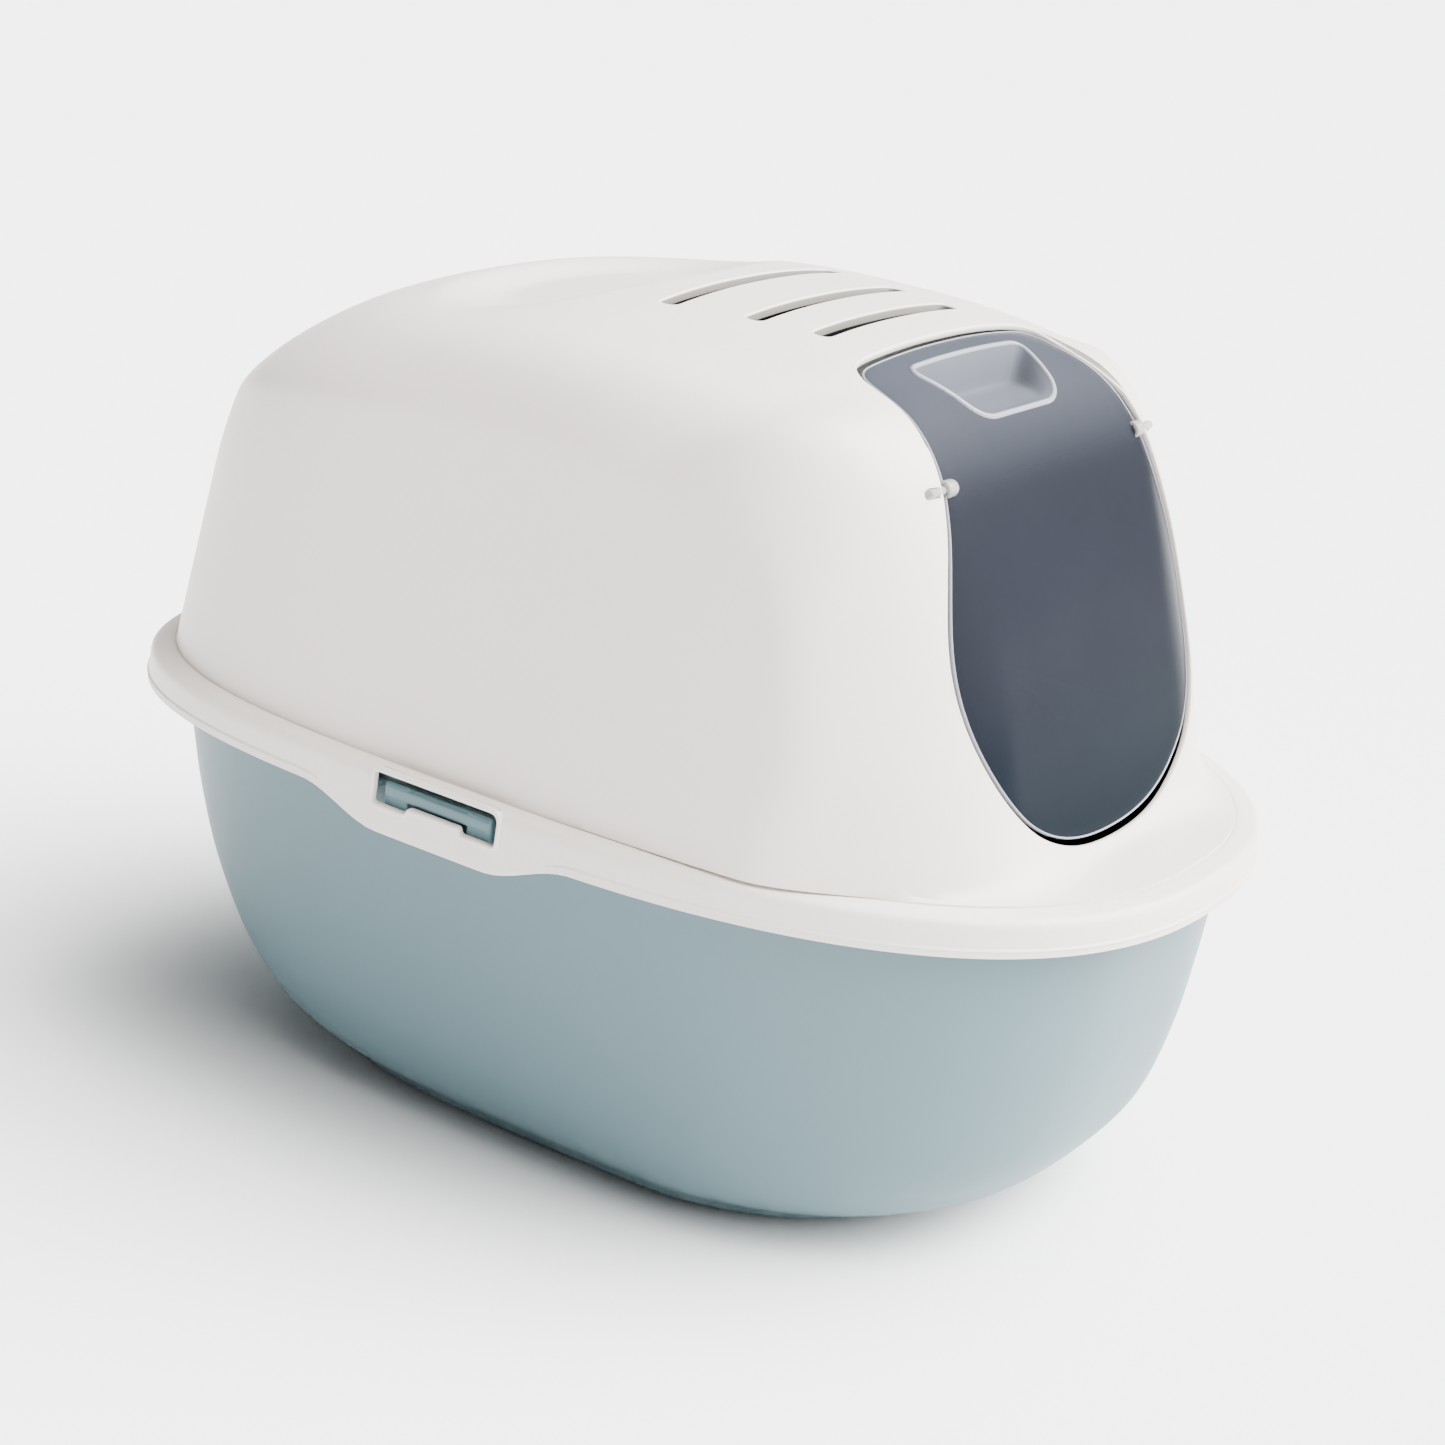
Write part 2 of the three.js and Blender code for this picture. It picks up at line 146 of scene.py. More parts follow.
# %% [markdown]
# ## Shape helpers
# The real shells are moulded: every line on them is one smooth curve. Placing thousands of
# points by hand would never be smooth, so the shells start as a grid primitive whose points are
# then laid on curves that are worked out from a few named sizes, in millimetres.

# %% Sizes of the shells
# The hood's side-view line goes from the back over the roof and down the front, as (y, z).
HALF_WIDTH, HALF_LENGTH, ROOF = 199.0, 270.0, 404.5
WALL = 2.4
RIM_TOP, RIM_BOTTOM, RIM_DIP = 192.0, 173.0, 12.0
LEDGE = 12.0
PIVOT_Y, PIVOT_Z = -152.0, 357.0
CATCH_MIDDLE = 22.0
HOOD_LINE = [
    (276, 178), (276, 268), (236, 327), (216, 349), (190, 366), (152, 381), (110, 392), (58, 401.1),
    (10, 404.5), (-40, 404), (-72, 402.2), (-95, 399.5), (-112, 394), (-126, 387), (-137, 379),
    (-147, 369.5), (-155, 359.5), (-162, 347.5), (-170, 331), (-181, 305), (-192, 275),
    (-202, 245), (-210, 217), (-219, 192), (-224.5, 178),
]


print("hood line:", len(HOOD_LINE), "points")


# %% Curve and blend helpers
def smooth_step(value):
    t = np.clip(value, 0, 1)
    return t * t * (3 - 2 * t)


def smooth_curve(points, per_span=12):
    """A curve through all the points, with no corners, as an array of rows."""
    p = np.asarray(points, float)
    ends = np.vstack([2 * p[0] - p[1], p, 2 * p[-1] - p[-2]])
    rows = []
    for a, b, c, d in zip(ends, ends[1:], ends[2:], ends[3:]):
        for t in np.arange(per_span) / per_span:
            rows.append(0.5 * (2 * b + (c - a) * t + (2 * a - 5 * b + 4 * c - d) * t**2
                               + (3 * b - a - 3 * c + d) * t**3))
    rows.append(p[-1])
    return np.array(rows)


def along(points):
    """Distance from the start of a line to each of its points."""
    return np.concatenate([[0], np.cumsum(np.linalg.norm(np.diff(points, axis=0), axis=1))])


def blended_max(a, b, width):
    """The larger of two values, rounded where they are close."""
    h = np.clip(0.5 + 0.5 * (a - b) / width, 0, 1)
    return b * (1 - h) + a * h + width * h * (1 - h)


def blended_min(a, b, width):
    return -blended_max(-a, -b, width)


def plan_value(x, y, half, front, rear, front_power=2.4, rear_power=3.6):
    """1 on a rounded oblong seen from above, less inside it and more outside."""
    power = np.where(y < 0, front_power, rear_power)
    reach = np.where(y < 0, front, rear)
    return (np.abs(x / half) ** power + np.abs(y / reach) ** power) ** (1 / power)


def plan_radius(cx, cy, half, front, rear, front_power=2.4, rear_power=3.6):
    """How far the outline is from the middle in the direction (cx, cy)."""
    return 1 / plan_value(cx, cy, half, front, rear, front_power, rear_power)


# %% [markdown]
# ## The hood's body
# The hood is a rounded oblong that narrows upwards, with one long line over its back, roof and
# front. It could be sculpted or built from a subdivided cube, but its corners would then depend
# on where a few points happen to lie. Here two shapes, the side walls and the side-view line,
# are each a short formula, and the larger of the two with a soft blend is the hood.

# %% The hood's body as one smooth shape
def front_turn(x, y, z):
    """How far the front wraps back towards the sides."""
    sharpness = 0.0072 + 0.0012 * smooth_step((250 - z) / 58)
    past = np.maximum(0, np.abs(x) - 80)
    return sharpness * past * past * smooth_step((20 - y) / 115)


def crown_drop(x, y):
    """How far the roof falls away from its middle line towards the sides."""
    return 24 * (np.abs(x) / 164) ** 2.2 * smooth_step((y + 145) / 50)


hood_curve = smooth_curve(HOOD_LINE)
hood_curve[:, 1] = np.minimum(hood_curve[:, 1], ROOF - 0.1)
CURVE_Y, CURVE_Z = 10, 150
curve_angle = np.arctan2(hood_curve[:, 1] - CURVE_Z, hood_curve[:, 0] - CURVE_Y)
curve_reach = np.hypot(hood_curve[:, 1] - CURVE_Z, hood_curve[:, 0] - CURVE_Y)


def profile_value(x, y, z):
    """Distance outside the side-view line, in millimetres."""
    line_y, line_z = y, z
    for _ in range(14):
        line_z = z + crown_drop(x, line_y)
        line_y = 0.5 * line_y + 0.5 * (y - front_turn(x, line_y, line_z))
    angle = np.arctan2(line_z - CURVE_Z, line_y - CURVE_Y)
    reach = np.hypot(line_z - CURVE_Z, line_y - CURVE_Y)
    return 0.93 * (reach - np.interp(angle, curve_angle, curve_reach))


def side_value(x, y, z):
    """Distance outside the upright walls, which lean in as they rise."""
    rise = z - RIM_TOP
    half = HALF_WIDTH - LEDGE - 0.123 * rise
    rear = HALF_LENGTH - 11 - 0.12 * rise - 0.003 * np.maximum(0, z - 280) ** 2
    return (plan_value(x, y, half, 360, np.maximum(rear, 60)) - 1) * half


def hood_value(x, y, z):
    """Below nought inside the hood, with a wider blend near the roof."""
    width = 7 + 27 * smooth_step((z - 300) / 65)
    return blended_max(side_value(x, y, z), profile_value(x, y, z), width)


def crossing(value_at, low, high, steps=30):
    """Where value_at goes from below nought to above it between low and high."""
    low, high = low.copy(), high.copy()
    for _ in range(steps):
        middle = (low + high) / 2
        inside = value_at(middle) < 0
        low = np.where(inside, middle, low)
        high = np.where(inside, high, middle)
    return (low + high) / 2


def turned_directions(count):
    """Directions round the box, spaced evenly along its rim, starting and ending at the back."""
    turn = np.linspace(0, 2 * np.pi, 4001)
    cx, cy = np.sin(turn), np.cos(turn)
    radius = plan_radius(cx, cy, HALF_WIDTH, HALF_LENGTH, HALF_LENGTH)
    length = along(np.stack([cx * radius, cy * radius], 1))
    even = np.interp(np.linspace(0, length[-1], count + 1), length, turn)
    return np.sin(even), np.cos(even)


def resample(r, z, rows):
    """The same number of evenly spaced points down each column of r and z."""
    out_r, out_z = np.empty((rows, r.shape[1])), np.empty((rows, r.shape[1]))
    for column in range(r.shape[1]):
        line = np.stack([r[:, column], z[:, column]], 1)
        length = along(line)
        even = np.linspace(0, length[-1], rows)
        out_r[:, column] = np.interp(even, length, line[:, 0])
        out_z[:, column] = np.interp(even, length, line[:, 1])
    return out_r, out_z


# %% [markdown]
# ## From a grid to a shell
# A grid primitive has rows and columns. Rolled up, its columns run round the box and its rows
# run up it, its two side edges meet at the back, and its last row closes to a point on the
# roof. Merging by distance then makes it one skin, and Solidify gives the skin its wall.

# %% Grid helper
def activate(obj):
    bpy.ops.object.select_all(action="DESELECT")
    obj.select_set(True)
    bpy.context.view_layer.objects.active = obj


def rolled_grid(name, x, y, z):
    """A skin through arrays of rows and columns, in millimetres, joined along its seam."""
    rows, columns = x.shape
    bpy.ops.mesh.primitive_grid_add(x_subdivisions=columns - 1, y_subdivisions=rows - 1, size=2)
    skin = bpy.context.object
    skin.name = name
    flat = np.empty(len(skin.data.vertices) * 3)
    skin.data.vertices.foreach_get("co", flat)
    flat = flat.reshape(-1, 3)
    column = np.rint((flat[:, 0] + 1) / 2 * (columns - 1)).astype(int)
    row = np.rint((flat[:, 1] + 1) / 2 * (rows - 1)).astype(int)
    placed = np.stack([x[row, column], y[row, column], z[row, column]], 1) * MM
    skin.data.vertices.foreach_set("co", placed.ravel())
    skin.data.update()
    bpy.ops.object.mode_set(mode="EDIT")
    bpy.ops.mesh.select_all(action="SELECT")
    bpy.ops.mesh.remove_doubles(threshold=0.00002)
    bpy.ops.mesh.normals_make_consistent(inside=False)
    bpy.ops.object.mode_set(mode="OBJECT")
    return skin


def apply_modifier(obj, kind, **settings):
    activate(obj)
    modifier = obj.modifiers.new(kind.lower(), kind)
    for key, value in settings.items():
        setattr(modifier, key, value)
    bpy.ops.object.modifier_apply(modifier=modifier.name)


print("grid helper ready")

# %% [markdown]
# ## The hood's skin
# The hood is one moulding, from the lower edge of its rim to the middle of the roof. Its rim is
# a rounded band that dips at the middle of each long side, where the catches are. The rim could
# be a second piece, but one skin has no seam where it meets the wall. The rows are found one
# after another: up the rim, in along the ledge, then along rays that meet the body.

# %% Rows of the hood's skin
AROUND = 300
cx, cy = turned_directions(AROUND)


def ledge_radius():
    return plan_radius(cx, cy, HALF_WIDTH - LEDGE, HALF_LENGTH - 14, HALF_LENGTH - 11)


def rim_rows():
    """Rows up the rim's face, over its rounded edge and in along the ledge."""
    def ring(inset):
        length = HALF_LENGTH - 0.6 - inset
        return plan_radius(cx, cy, HALF_WIDTH - inset, length, length)

    face_y = cy * ring(0)
    dip = smooth_step((99 - face_y) / 45) * smooth_step((face_y + 52) / 45)
    bottom = RIM_BOTTOM - RIM_DIP * dip * (np.abs(cx * ring(0)) > 100)
    rows = [(ring(0.9), bottom + 0.0), (ring(0.2), bottom + 0.5)]
    for share in np.linspace(0.03, 1, 9):
        rows.append((ring(0.1 + 0.6 * share), bottom + (185.5 - bottom) * share))
    for corner in np.linspace(0.2, 1, 5):
        a = corner * math.pi / 2
        rows.append((ring(0.7 + 4.2 * (1 - math.cos(a))), 185.5 + 4.9 * math.sin(a) + 0 * bottom))
    ledge = (7, 190.9), (9, 191.3), (10.4, 191.5), (11.0, 191.4), (11.3, 190.9), (11.7, 190.9)
    for inset, height in ledge:
        share = inset / 12
        rows.append((ring(0) + share * (ledge_radius() - ring(0)), height + 0 * bottom))
    return rows


def body_rows(count):
    """Rows from the ledge over the spread foot of the front, up the wall and over the roof."""
    low = 110.0
    foot = ledge_radius()
    wall = crossing(
        lambda r: hood_value(cx * r, cy * r, RIM_TOP + 0 * r), 0 * cx + 40, 0 * cx + 300)
    spread = np.clip(foot - wall, 1.5, 26) * (1 - 0.74 * np.exp(-(cx * wall / 78) ** 2) * (cy < 0))
    start = np.arctan2(RIM_TOP - low, foot)
    share = np.linspace(0, 1, 420)[:, None] ** 1.15
    angle = start + share * (math.pi / 2 - start)

    def value(distance):
        r, z = distance * np.cos(angle), low + distance * np.sin(angle)
        body = hood_value(cx * r, cy * r, z)
        return blended_min(body, z - RIM_TOP, np.broadcast_to(spread, r.shape))

    reach = crossing(value, 0 * angle + 60, 0 * angle + 420)
    r, z = reach * np.cos(angle), low + reach * np.sin(angle)
    r[0], z[0] = np.maximum(foot, wall), RIM_TOP
    return resample(r, z, count)


def dish_drop(x, y):
    """The shallow dish pressed into the back of the roof."""
    out = np.hypot(x / 124, (y - 92) / 62)
    return 10 * smooth_step((1 - out) / 0.5)


# %% The hood's skin
def hood_skin():
    rows = rim_rows()
    body_r, body_z = body_rows(118)
    r = np.vstack([np.array([row[0] for row in rows]), body_r])
    z = np.vstack([np.array([row[1] for row in rows]), body_z])
    x, y = cx * r, cy * r
    z = z - dish_drop(x, y) * smooth_step((z - 340) / 20)
    return rolled_grid("hood", x, y, z)


hood = hood_skin()
print("hood skin:", len(hood.data.polygons), "faces")
apply_modifier(hood, "SOLIDIFY", thickness=WALL * MM, offset=-1, use_even_offset=True)
print("hood with its wall:", len(hood.data.polygons), "faces")

# %% [markdown]
# ## Loops, cutters and mouldings
# Every hole in the shells has a rolled or raised edge. Bevelling a cut edge on a dense skin
# breaks up, so each hole is made in two steps: a boolean cutter opens it a little too wide, and
# a moulding, one small cross-section carried round the same loop, closes it to its true size.

# %% Loop helpers
def rounded_loop(corners, radii, steps=7):
    """A closed line through straight runs and rounded corners."""
    corners = np.asarray(corners, float)
    rows = []
    for k, radius in enumerate(radii):
        here, before, after = corners[k], corners[k - 1], corners[(k + 1) % len(corners)]
        start = here + (before - here) / np.linalg.norm(before - here) * radius
        end = here + (after - here) / np.linalg.norm(after - here) * radius
        for t in np.linspace(0, 1, steps):
            rows.append((1 - t) ** 2 * start + 2 * t * (1 - t) * here + t**2 * end)
    return np.array(rows)


def even_loop(points, spacing):
    """The closed loop with evenly spaced points, anticlockwise, its last point left out."""
    closed = np.vstack([points, points[:1]])
    u, v = closed.T
    if np.sum(u[:-1] * v[1:] - u[1:] * v[:-1]) < 0:
        closed = closed[::-1]
    length = along(closed)
    wanted = np.linspace(0, length[-1], int(length[-1] / spacing) + 1)[:-1]
    return np.stack([np.interp(wanted, length, closed[:, k]) for k in range(2)], 1)


def moved_out(loop, distance):
    """The loop moved square to itself, outwards if distance is above nought."""
    step = np.roll(loop, -1, axis=0) - np.roll(loop, 1, axis=0)
    step = step / np.linalg.norm(step, axis=1)[:, None]
    return loop + distance * np.stack([step[:, 1], -step[:, 0]], 1)


# %% Moulding and cutter helpers
def carried_round(name, loop, section, place):
    """A closed moulding: each (out, deep) point of the section goes once round the loop."""
    rings = []
    for out, deep in list(section) + [section[0]]:
        ring = moved_out(loop, out)
        ring = np.vstack([ring, ring[:1]])
        rings.append(place(ring[:, 0], ring[:, 1], deep))
    x, y, z = (np.stack([ring[k] for ring in rings]) for k in range(3))
    return rolled_grid(name, x, y, z)


def cut(target, cutter):
    apply_modifier(target, "BOOLEAN", operation="DIFFERENCE", object=cutter, solver="EXACT")
    bpy.data.objects.remove(cutter)


def join(target, *others):
    activate(target)
    for other in others:
        other.select_set(True)
    bpy.ops.object.join()


def plug(name, loop, place, outer, inner, steps=1):
    """A closed cutter that fills a loop from outer to inner depth, in steps out from its middle."""
    middle = loop.mean(axis=0)
    closed = np.vstack([loop, loop[:1]])
    shares = np.linspace(0, 1, steps + 1)
    rings = []
    for share, deep in [(s, outer) for s in shares] + [(s, inner) for s in shares[::-1]]:
        ring = middle + share * (closed - middle)
        rings.append(place(ring[:, 0], ring[:, 1], deep))
    x, y, z = (np.stack([ring[k] for ring in rings]) for k in range(3))
    return rolled_grid(name, x, y, z)


print("loop, moulding and cutter helpers ready")


# %% [markdown]
# ## The entrance
# The entrance goes through the front and on over the front of the roof. It could be cut with a
# flat outline pushed through the hood, but the outline turns over the roof's front, so its edge
# is drawn as a loop on the hood itself: how far out to the side, and how far along the side-view
# line. The cutter follows the hood from just outside its face to well inside the wall.

# %% The entrance's outline
line_length = along(hood_curve)
front_part = hood_curve[:, 0] < 0
ENTRANCE_FRONT = [
    (9, 195), (22, 195.6), (38, 197.6), (52, 201.2), (66, 206.5), (79, 214), (90, 223.5), (99, 234),
    (106, 245), (111.5, 258), (115, 272), (116, 288), (114, 303), (110, 318), (105, 334), (100, 352),
    (97, 364), (94, 375),
]
ENTRANCE_TOP = [(90, -125), (87, -110), (84, -99), (79, -93), (70, -90), (50, -89.6), (25, -89.5)]


def length_at_height(z):
    return float(np.interp(-z, -hood_curve[front_part, 1], line_length[front_part]))


def length_at_depth(y):
    return float(np.interp(-y, -hood_curve[front_part, 0], line_length[front_part]))


entrance_half = smooth_curve(
    [(half, length_at_height(z)) for half, z in ENTRANCE_FRONT]
    + [(half, length_at_depth(y)) for half, y in ENTRANCE_TOP], 8)
entrance_loop = even_loop(np.vstack([entrance_half, entrance_half[::-1] * (-1, 1)]), 2.0)
on_front = (entrance_loop[:, 1] > length_at_height(335))[:, None]
for _ in range(60):
    averaged = (np.roll(entrance_loop, 1, axis=0) + np.roll(entrance_loop, -1, axis=0)) / 2
    entrance_loop = np.where(on_front, averaged, entrance_loop)


print("entrance outline:", len(entrance_loop), "points")


# %% Places on the hood
def on_hood(x, length, inset):
    """Points at x and at a length along the side-view line, inset behind the hood's face."""
    y, z = (np.interp(length, line_length, hood_curve[:, k]) for k in range(2))
    ahead = [np.interp(length + 3, line_length, hood_curve[:, k]) for k in range(2)]
    behind = [np.interp(length - 3, line_length, hood_curve[:, k]) for k in range(2)]
    step_y, step_z = ahead[0] - behind[0], ahead[1] - behind[1]
    size = np.hypot(step_y, step_z)
    y, z = y - inset * step_z / size, z + inset * step_y / size
    return x, y + front_turn(x, y, z), z - crown_drop(x, y)


hood_tree = BVHTree.FromObject(hood, bpy.context.evaluated_depsgraph_get())


def on_skin(x, length, inset):
    """As on_hood, but measured from the hood's real skin, which spreads out near the ledge."""
    face = np.stack(on_hood(x, length, 0 * x), 1)
    outward = np.stack(on_hood(x, length, -1 + 0 * x), 1) - face
    placed = []
    for point, normal in zip(face, outward):
        hit = hood_tree.ray_cast(Vector((point + 25 * normal) * MM), Vector(-normal))[0]
        lift = 25 - (Vector((point + 25 * normal) * MM) - hit).length / MM if hit else 0
        placed.append(point + normal * (lift - inset))
    return np.array(placed).T


# %% Cut and edge the entrance
EDGE_SECTION = [
    (1.9, 0.3), (1.5, 0.02), (1.0, 0.0), (0.5, 0.2), (0.15, 0.6), (0, 1.2), (0, 2.6), (0.25, 3.2),
    (0.8, 3.6), (1.4, 3.3), (1.9, 2.6), (2.0, 1.4),
]
cut(hood, plug("entrance_cutter", moved_out(entrance_loop, 1.6), on_hood, -9, 9, 12))
entrance_edge = carried_round("entrance_edge", entrance_loop, EDGE_SECTION, on_skin)
print("hood after the entrance:", len(hood.data.polygons), "faces")

# %% [markdown]
# ## Hinge seats
# Each hinge pin lies in an open groove in the hood's front, on a small block behind the wall. The
# block is a cube with rounded edges, and one cutter makes the groove in the wall and the block,
# so that both halves of the seat line up.

# %% Hinge seats
def bevelled_box(name, low, high, bevel, segments=3):
    """A box between two corners, in millimetres, with rounded edges."""
    low, high = np.asarray(low, float), np.asarray(high, float)
    bpy.ops.mesh.primitive_cube_add(size=1)
    block = bpy.context.object
    block.name = name
    bpy.ops.object.mode_set(mode="EDIT")
    bpy.ops.mesh.select_all(action="SELECT")
    bpy.ops.transform.resize(value=tuple((high - low) * MM))
    bpy.ops.transform.translate(value=tuple((high + low) / 2 * MM))
    bpy.ops.object.mode_set(mode="OBJECT")
    apply_modifier(block, "BEVEL", width=bevel * MM, segments=segments)
    return block


def turned_bar(name, outline, y=PIVOT_Y, z=PIVOT_Z, sides=40):
    """A round piece turned about a line along X, from (x, radius) points."""
    turn = np.linspace(0, 2 * np.pi, sides + 1)
    x, radius = np.array(outline, float).T
    return rolled_grid(name, x[:, None] + 0 * turn, y + radius[:, None] * np.cos(turn),
                       z + radius[:, None] * np.sin(turn))


seats = []
for side in (-1, 1):
    ends = sorted((side * 101, side * 110))
    seat = bevelled_box("pin_seat", (ends[0], PIVOT_Y + 4.6, PIVOT_Z - 7),
                        (ends[1], PIVOT_Y + 11, PIVOT_Z + 2), 0.8)
    for target in (hood, seat):
        groove = sorted((side * 96, side * 109.4))
        cutter = bevelled_box("groove_cutter", (groove[0], PIVOT_Y - 20, PIVOT_Z - 2.2),
                              (groove[1], PIVOT_Y + 2.2, PIVOT_Z + 2.2), 1.2)
        cut(target, cutter)
    seats.append(seat)
print("hood after the grooves:", len(hood.data.polygons), "faces")

# %% [markdown]
# ## Roof vents
# Three long slots let air through the carbon filter. Each one has a wall that goes down into the
# hood, which stiffens the roof there. The three share one section and differ only in length, so
# each is cut and edged by the same two calls.

# %% Roof vents
VENTS = [(12, 74), (-29, 66), (-61, 60)]
VENT_WIDTH, VENT_DEPTH = 8.6, 4.4


def on_roof(x, y, deep):
    z = np.interp(-y, -hood_curve[:, 0], hood_curve[:, 1]) - crown_drop(x, y)
    return x, y, z - deep


def vent_loop(y, half):
    width = VENT_WIDTH / 2
    corners = [(-half, y - width), (half, y - width), (half, y + width), (-half, y + width)]
    return even_loop(rounded_loop(corners, [width - 0.2] * 4), 0.9)


vent_section = [
    (2.2, 0.5), (1.8, 0.02), (1.3, 0.0), (0.7, 0.25), (0.25, 0.7), (0, 1.3), (0, VENT_DEPTH - 0.4),
    (0.4, VENT_DEPTH), (1.2, VENT_DEPTH), (1.8, VENT_DEPTH - 0.5), (2.2, 2.0),
]
vent_walls = []
for number, (y, half) in enumerate(VENTS):
    loop = vent_loop(y, half)
    cut(hood, plug("vent_cutter", moved_out(loop, 1.9), on_roof, -6, 8))
    vent_walls.append(carried_round(f"vent_wall_{number + 1}", loop, vent_section, on_roof))
print("hood after the vents:", len(hood.data.polygons), "faces")

# %% [markdown]
# ## Catch windows
# In the middle of each long side the hood's rim has a window, through which a springy catch on
# the tray shows. Its lower edge rises to a tongue that the catch's two legs straddle, and a
# raised lip runs round it. The lip is carried round the loop as the entrance's edge is.

# %% Catch windows
WINDOW_HALF, WINDOW_LOW, WINDOW_HIGH = 34.5, 174.8, 189.6
TONGUE_HALF, TONGUE_TOP = 14.5, 177.8
window_corners = [
    (-WINDOW_HALF, WINDOW_LOW), (-TONGUE_HALF - 1, WINDOW_LOW), (-TONGUE_HALF, TONGUE_TOP),
    (TONGUE_HALF, TONGUE_TOP), (TONGUE_HALF + 1, WINDOW_LOW), (WINDOW_HALF, WINDOW_LOW),
    (WINDOW_HALF, WINDOW_HIGH), (-WINDOW_HALF, WINDOW_HIGH),
]
window_radii = [1.8, 1.3, 1.4, 1.4, 1.3, 1.8, 1.4, 4.2]
window_loop = even_loop(rounded_loop(window_corners, window_radii), 0.7)
LIP_SECTION = [
    (2.3, 0.8), (2.15, 0.0), (1.9, -0.6), (1.4, -0.88), (0.8, -0.88), (0.3, -0.6), (0, 0.0), (0, 1.6),
    (0, 2.6), (0.5, 2.9), (1.4, 2.9), (2.2, 2.2),
]


def on_rim(side):
    """Points on the rim's upright face, from a place along the side and a height."""
    def place(along_side, height, deep):
        y = CATCH_MIDDLE + along_side
        reach = HALF_WIDTH * (1 - (np.abs(y) / HALF_LENGTH) ** 3.6) ** (1 / 3.6)
        x = reach - 0.1 - 0.6 * (height - RIM_BOTTOM) / 12.5 - deep
        return side * x, y + 0 * x, height + 0 * x
    return place


window_lips = []
for side, word in ((-1, "left"), (1, "right")):
    cut(hood, plug("window_cutter", moved_out(window_loop, 1.2), on_rim(side), -5, 8))
    window_lips.append(carried_round(f"window_lip_{word}", window_loop, LIP_SECTION, on_rim(side)))
print("hood after the windows:", len(hood.data.polygons), "faces")

# %% [markdown]
# ## One hood
# The mouldings, lips and seats are all the same plastic as the hood, so they become one object,
# which stands in for the plain CAD shell and moves with the hood's body.

# %% Join the hood's mouldings
join(hood, entrance_edge, *vent_walls, *window_lips, *seats)
hood.name = "moulded_hood"
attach(hood, "hood")
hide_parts("hood_shell")
print("moulded hood:", len(hood.data.polygons), "faces")

# %% [markdown]
# ## Tray
# The tray is one moulding with a rounded belly, a lighter-looking front panel that meets the
# sides in a soft crease, a low foot and a flange under the rim. It could be lofted through a few
# drawn outlines. It is the same rolled grid as the hood instead: two outlines at each height,
# one for the sides and one for the front, and the smaller of the two gives the crease.

# %% Tray
# Each row is (height, half width, reach of the front, reach of the back).
TRAY_SECTIONS = [
    (3, 131, 175, 150), (8.9, 135, 181, 157), (16.8, 145, 200, 174), (29.6, 154.5, 219, 193),
    (52.2, 163, 235, 213), (86.7, 170.5, 244, 231), (121.1, 177, 248, 241), (150.6, 182, 250, 246),
    (173.3, 185.5, 251, 249), (186.8, 188.3, 252, 253),
]
TRAY_AROUND = 300
tray_turn_x, tray_turn_y = turned_directions(TRAY_AROUND)
tray_curve = smooth_curve(TRAY_SECTIONS, 10)


def tray_ring(height, depth, softness=2.6):
    """Radius all round the tray's wall at a height, depth inside its face."""
    half, front, rear = (np.interp(height, tray_curve[:, 0], tray_curve[:, k]) for k in (1, 2, 3))
    sides = plan_radius(tray_turn_x, tray_turn_y, half - depth, 340 - depth, rear - depth)
    front_half = half + 6 - height / 42 - depth
    fronts = plan_radius(tray_turn_x, tray_turn_y, front_half, front - depth, 300, 2.6)
    return blended_min(sides, fronts, softness)


def foot_ring(inset):
    return plan_radius(tray_turn_x, tray_turn_y, 128 - inset, 169 - inset, 145 - inset, 2.2, 2.6)


def flange_ring(inset):
    return plan_radius(tray_turn_x, tray_turn_y, 194.6 - inset, 265.6 - inset, 265.6 - inset)


# %% The tray's skin, from under its foot over its edge to the middle of its floor
FOOT = [(9, 1.4), (6, 0.5), (4.5, 0.05), (2.6, 0.0), (1.2, 0.3), (0.3, 1.2), (0, 2.4), (-0.5, 3.2)]
FLANGE = [(1.2, 180.0), (0.3, 180.3), (0, 181.2), (0.3, 182.1), (1.2, 182.4)]


def tray_rows():
    rows = [(0 * tray_turn_x, 1.6)]
    rows += [(foot_ring(12) * share, 1.6) for share in (0.3, 0.6, 0.85, 1)]
    rows += [(foot_ring(inset), level) for inset, level in FOOT]
    rows.append((tray_ring(3, 1.2), 3.4))
    for height in tray_curve[tray_curve[:, 0] < 178, 0][2::2]:
        rows.append((tray_ring(height, 0), height))
    rows += [(tray_ring(179, 0), 179.2), (tray_ring(179, -0.6), 179.9)]
    rows += [(flange_ring(inset), level) for inset, level in FLANGE]
    rows += [(tray_ring(183, -0.6), 182.5), (tray_ring(183, 0), 183.2), (tray_ring(185.6, 0), 185.6),
             (tray_ring(186.5, 0.3), 186.4), (tray_ring(186.5, 1.2), 186.8), (tray_ring(186.5, 2.1), 186.4),
             (tray_ring(185.6, WALL), 185.6)]
    for height in tray_curve[tray_curve[:, 0] > 8, 0][::-2]:
        if height < 184:
            rows.append((tray_ring(height, WALL), height + WALL * (1 - height / 190)))
    rows += [(tray_ring(8, 6), 8.2), (tray_ring(5, 12), 6.2)]
    rows += [(tray_ring(5, 14) * share, 5.6 - 0.8 * (1 - share)) for share in (1, 0.7, 0.4, 0.15, 0)]
    return rows


rows = tray_rows()
radius = np.array([row[0] for row in rows])
height = np.array([np.broadcast_to(row[1], tray_turn_x.shape) for row in rows])
tray = rolled_grid("moulded_tray", radius * tray_turn_x, radius * tray_turn_y, height)
print("tray skin:", len(tray.data.polygons), "faces")

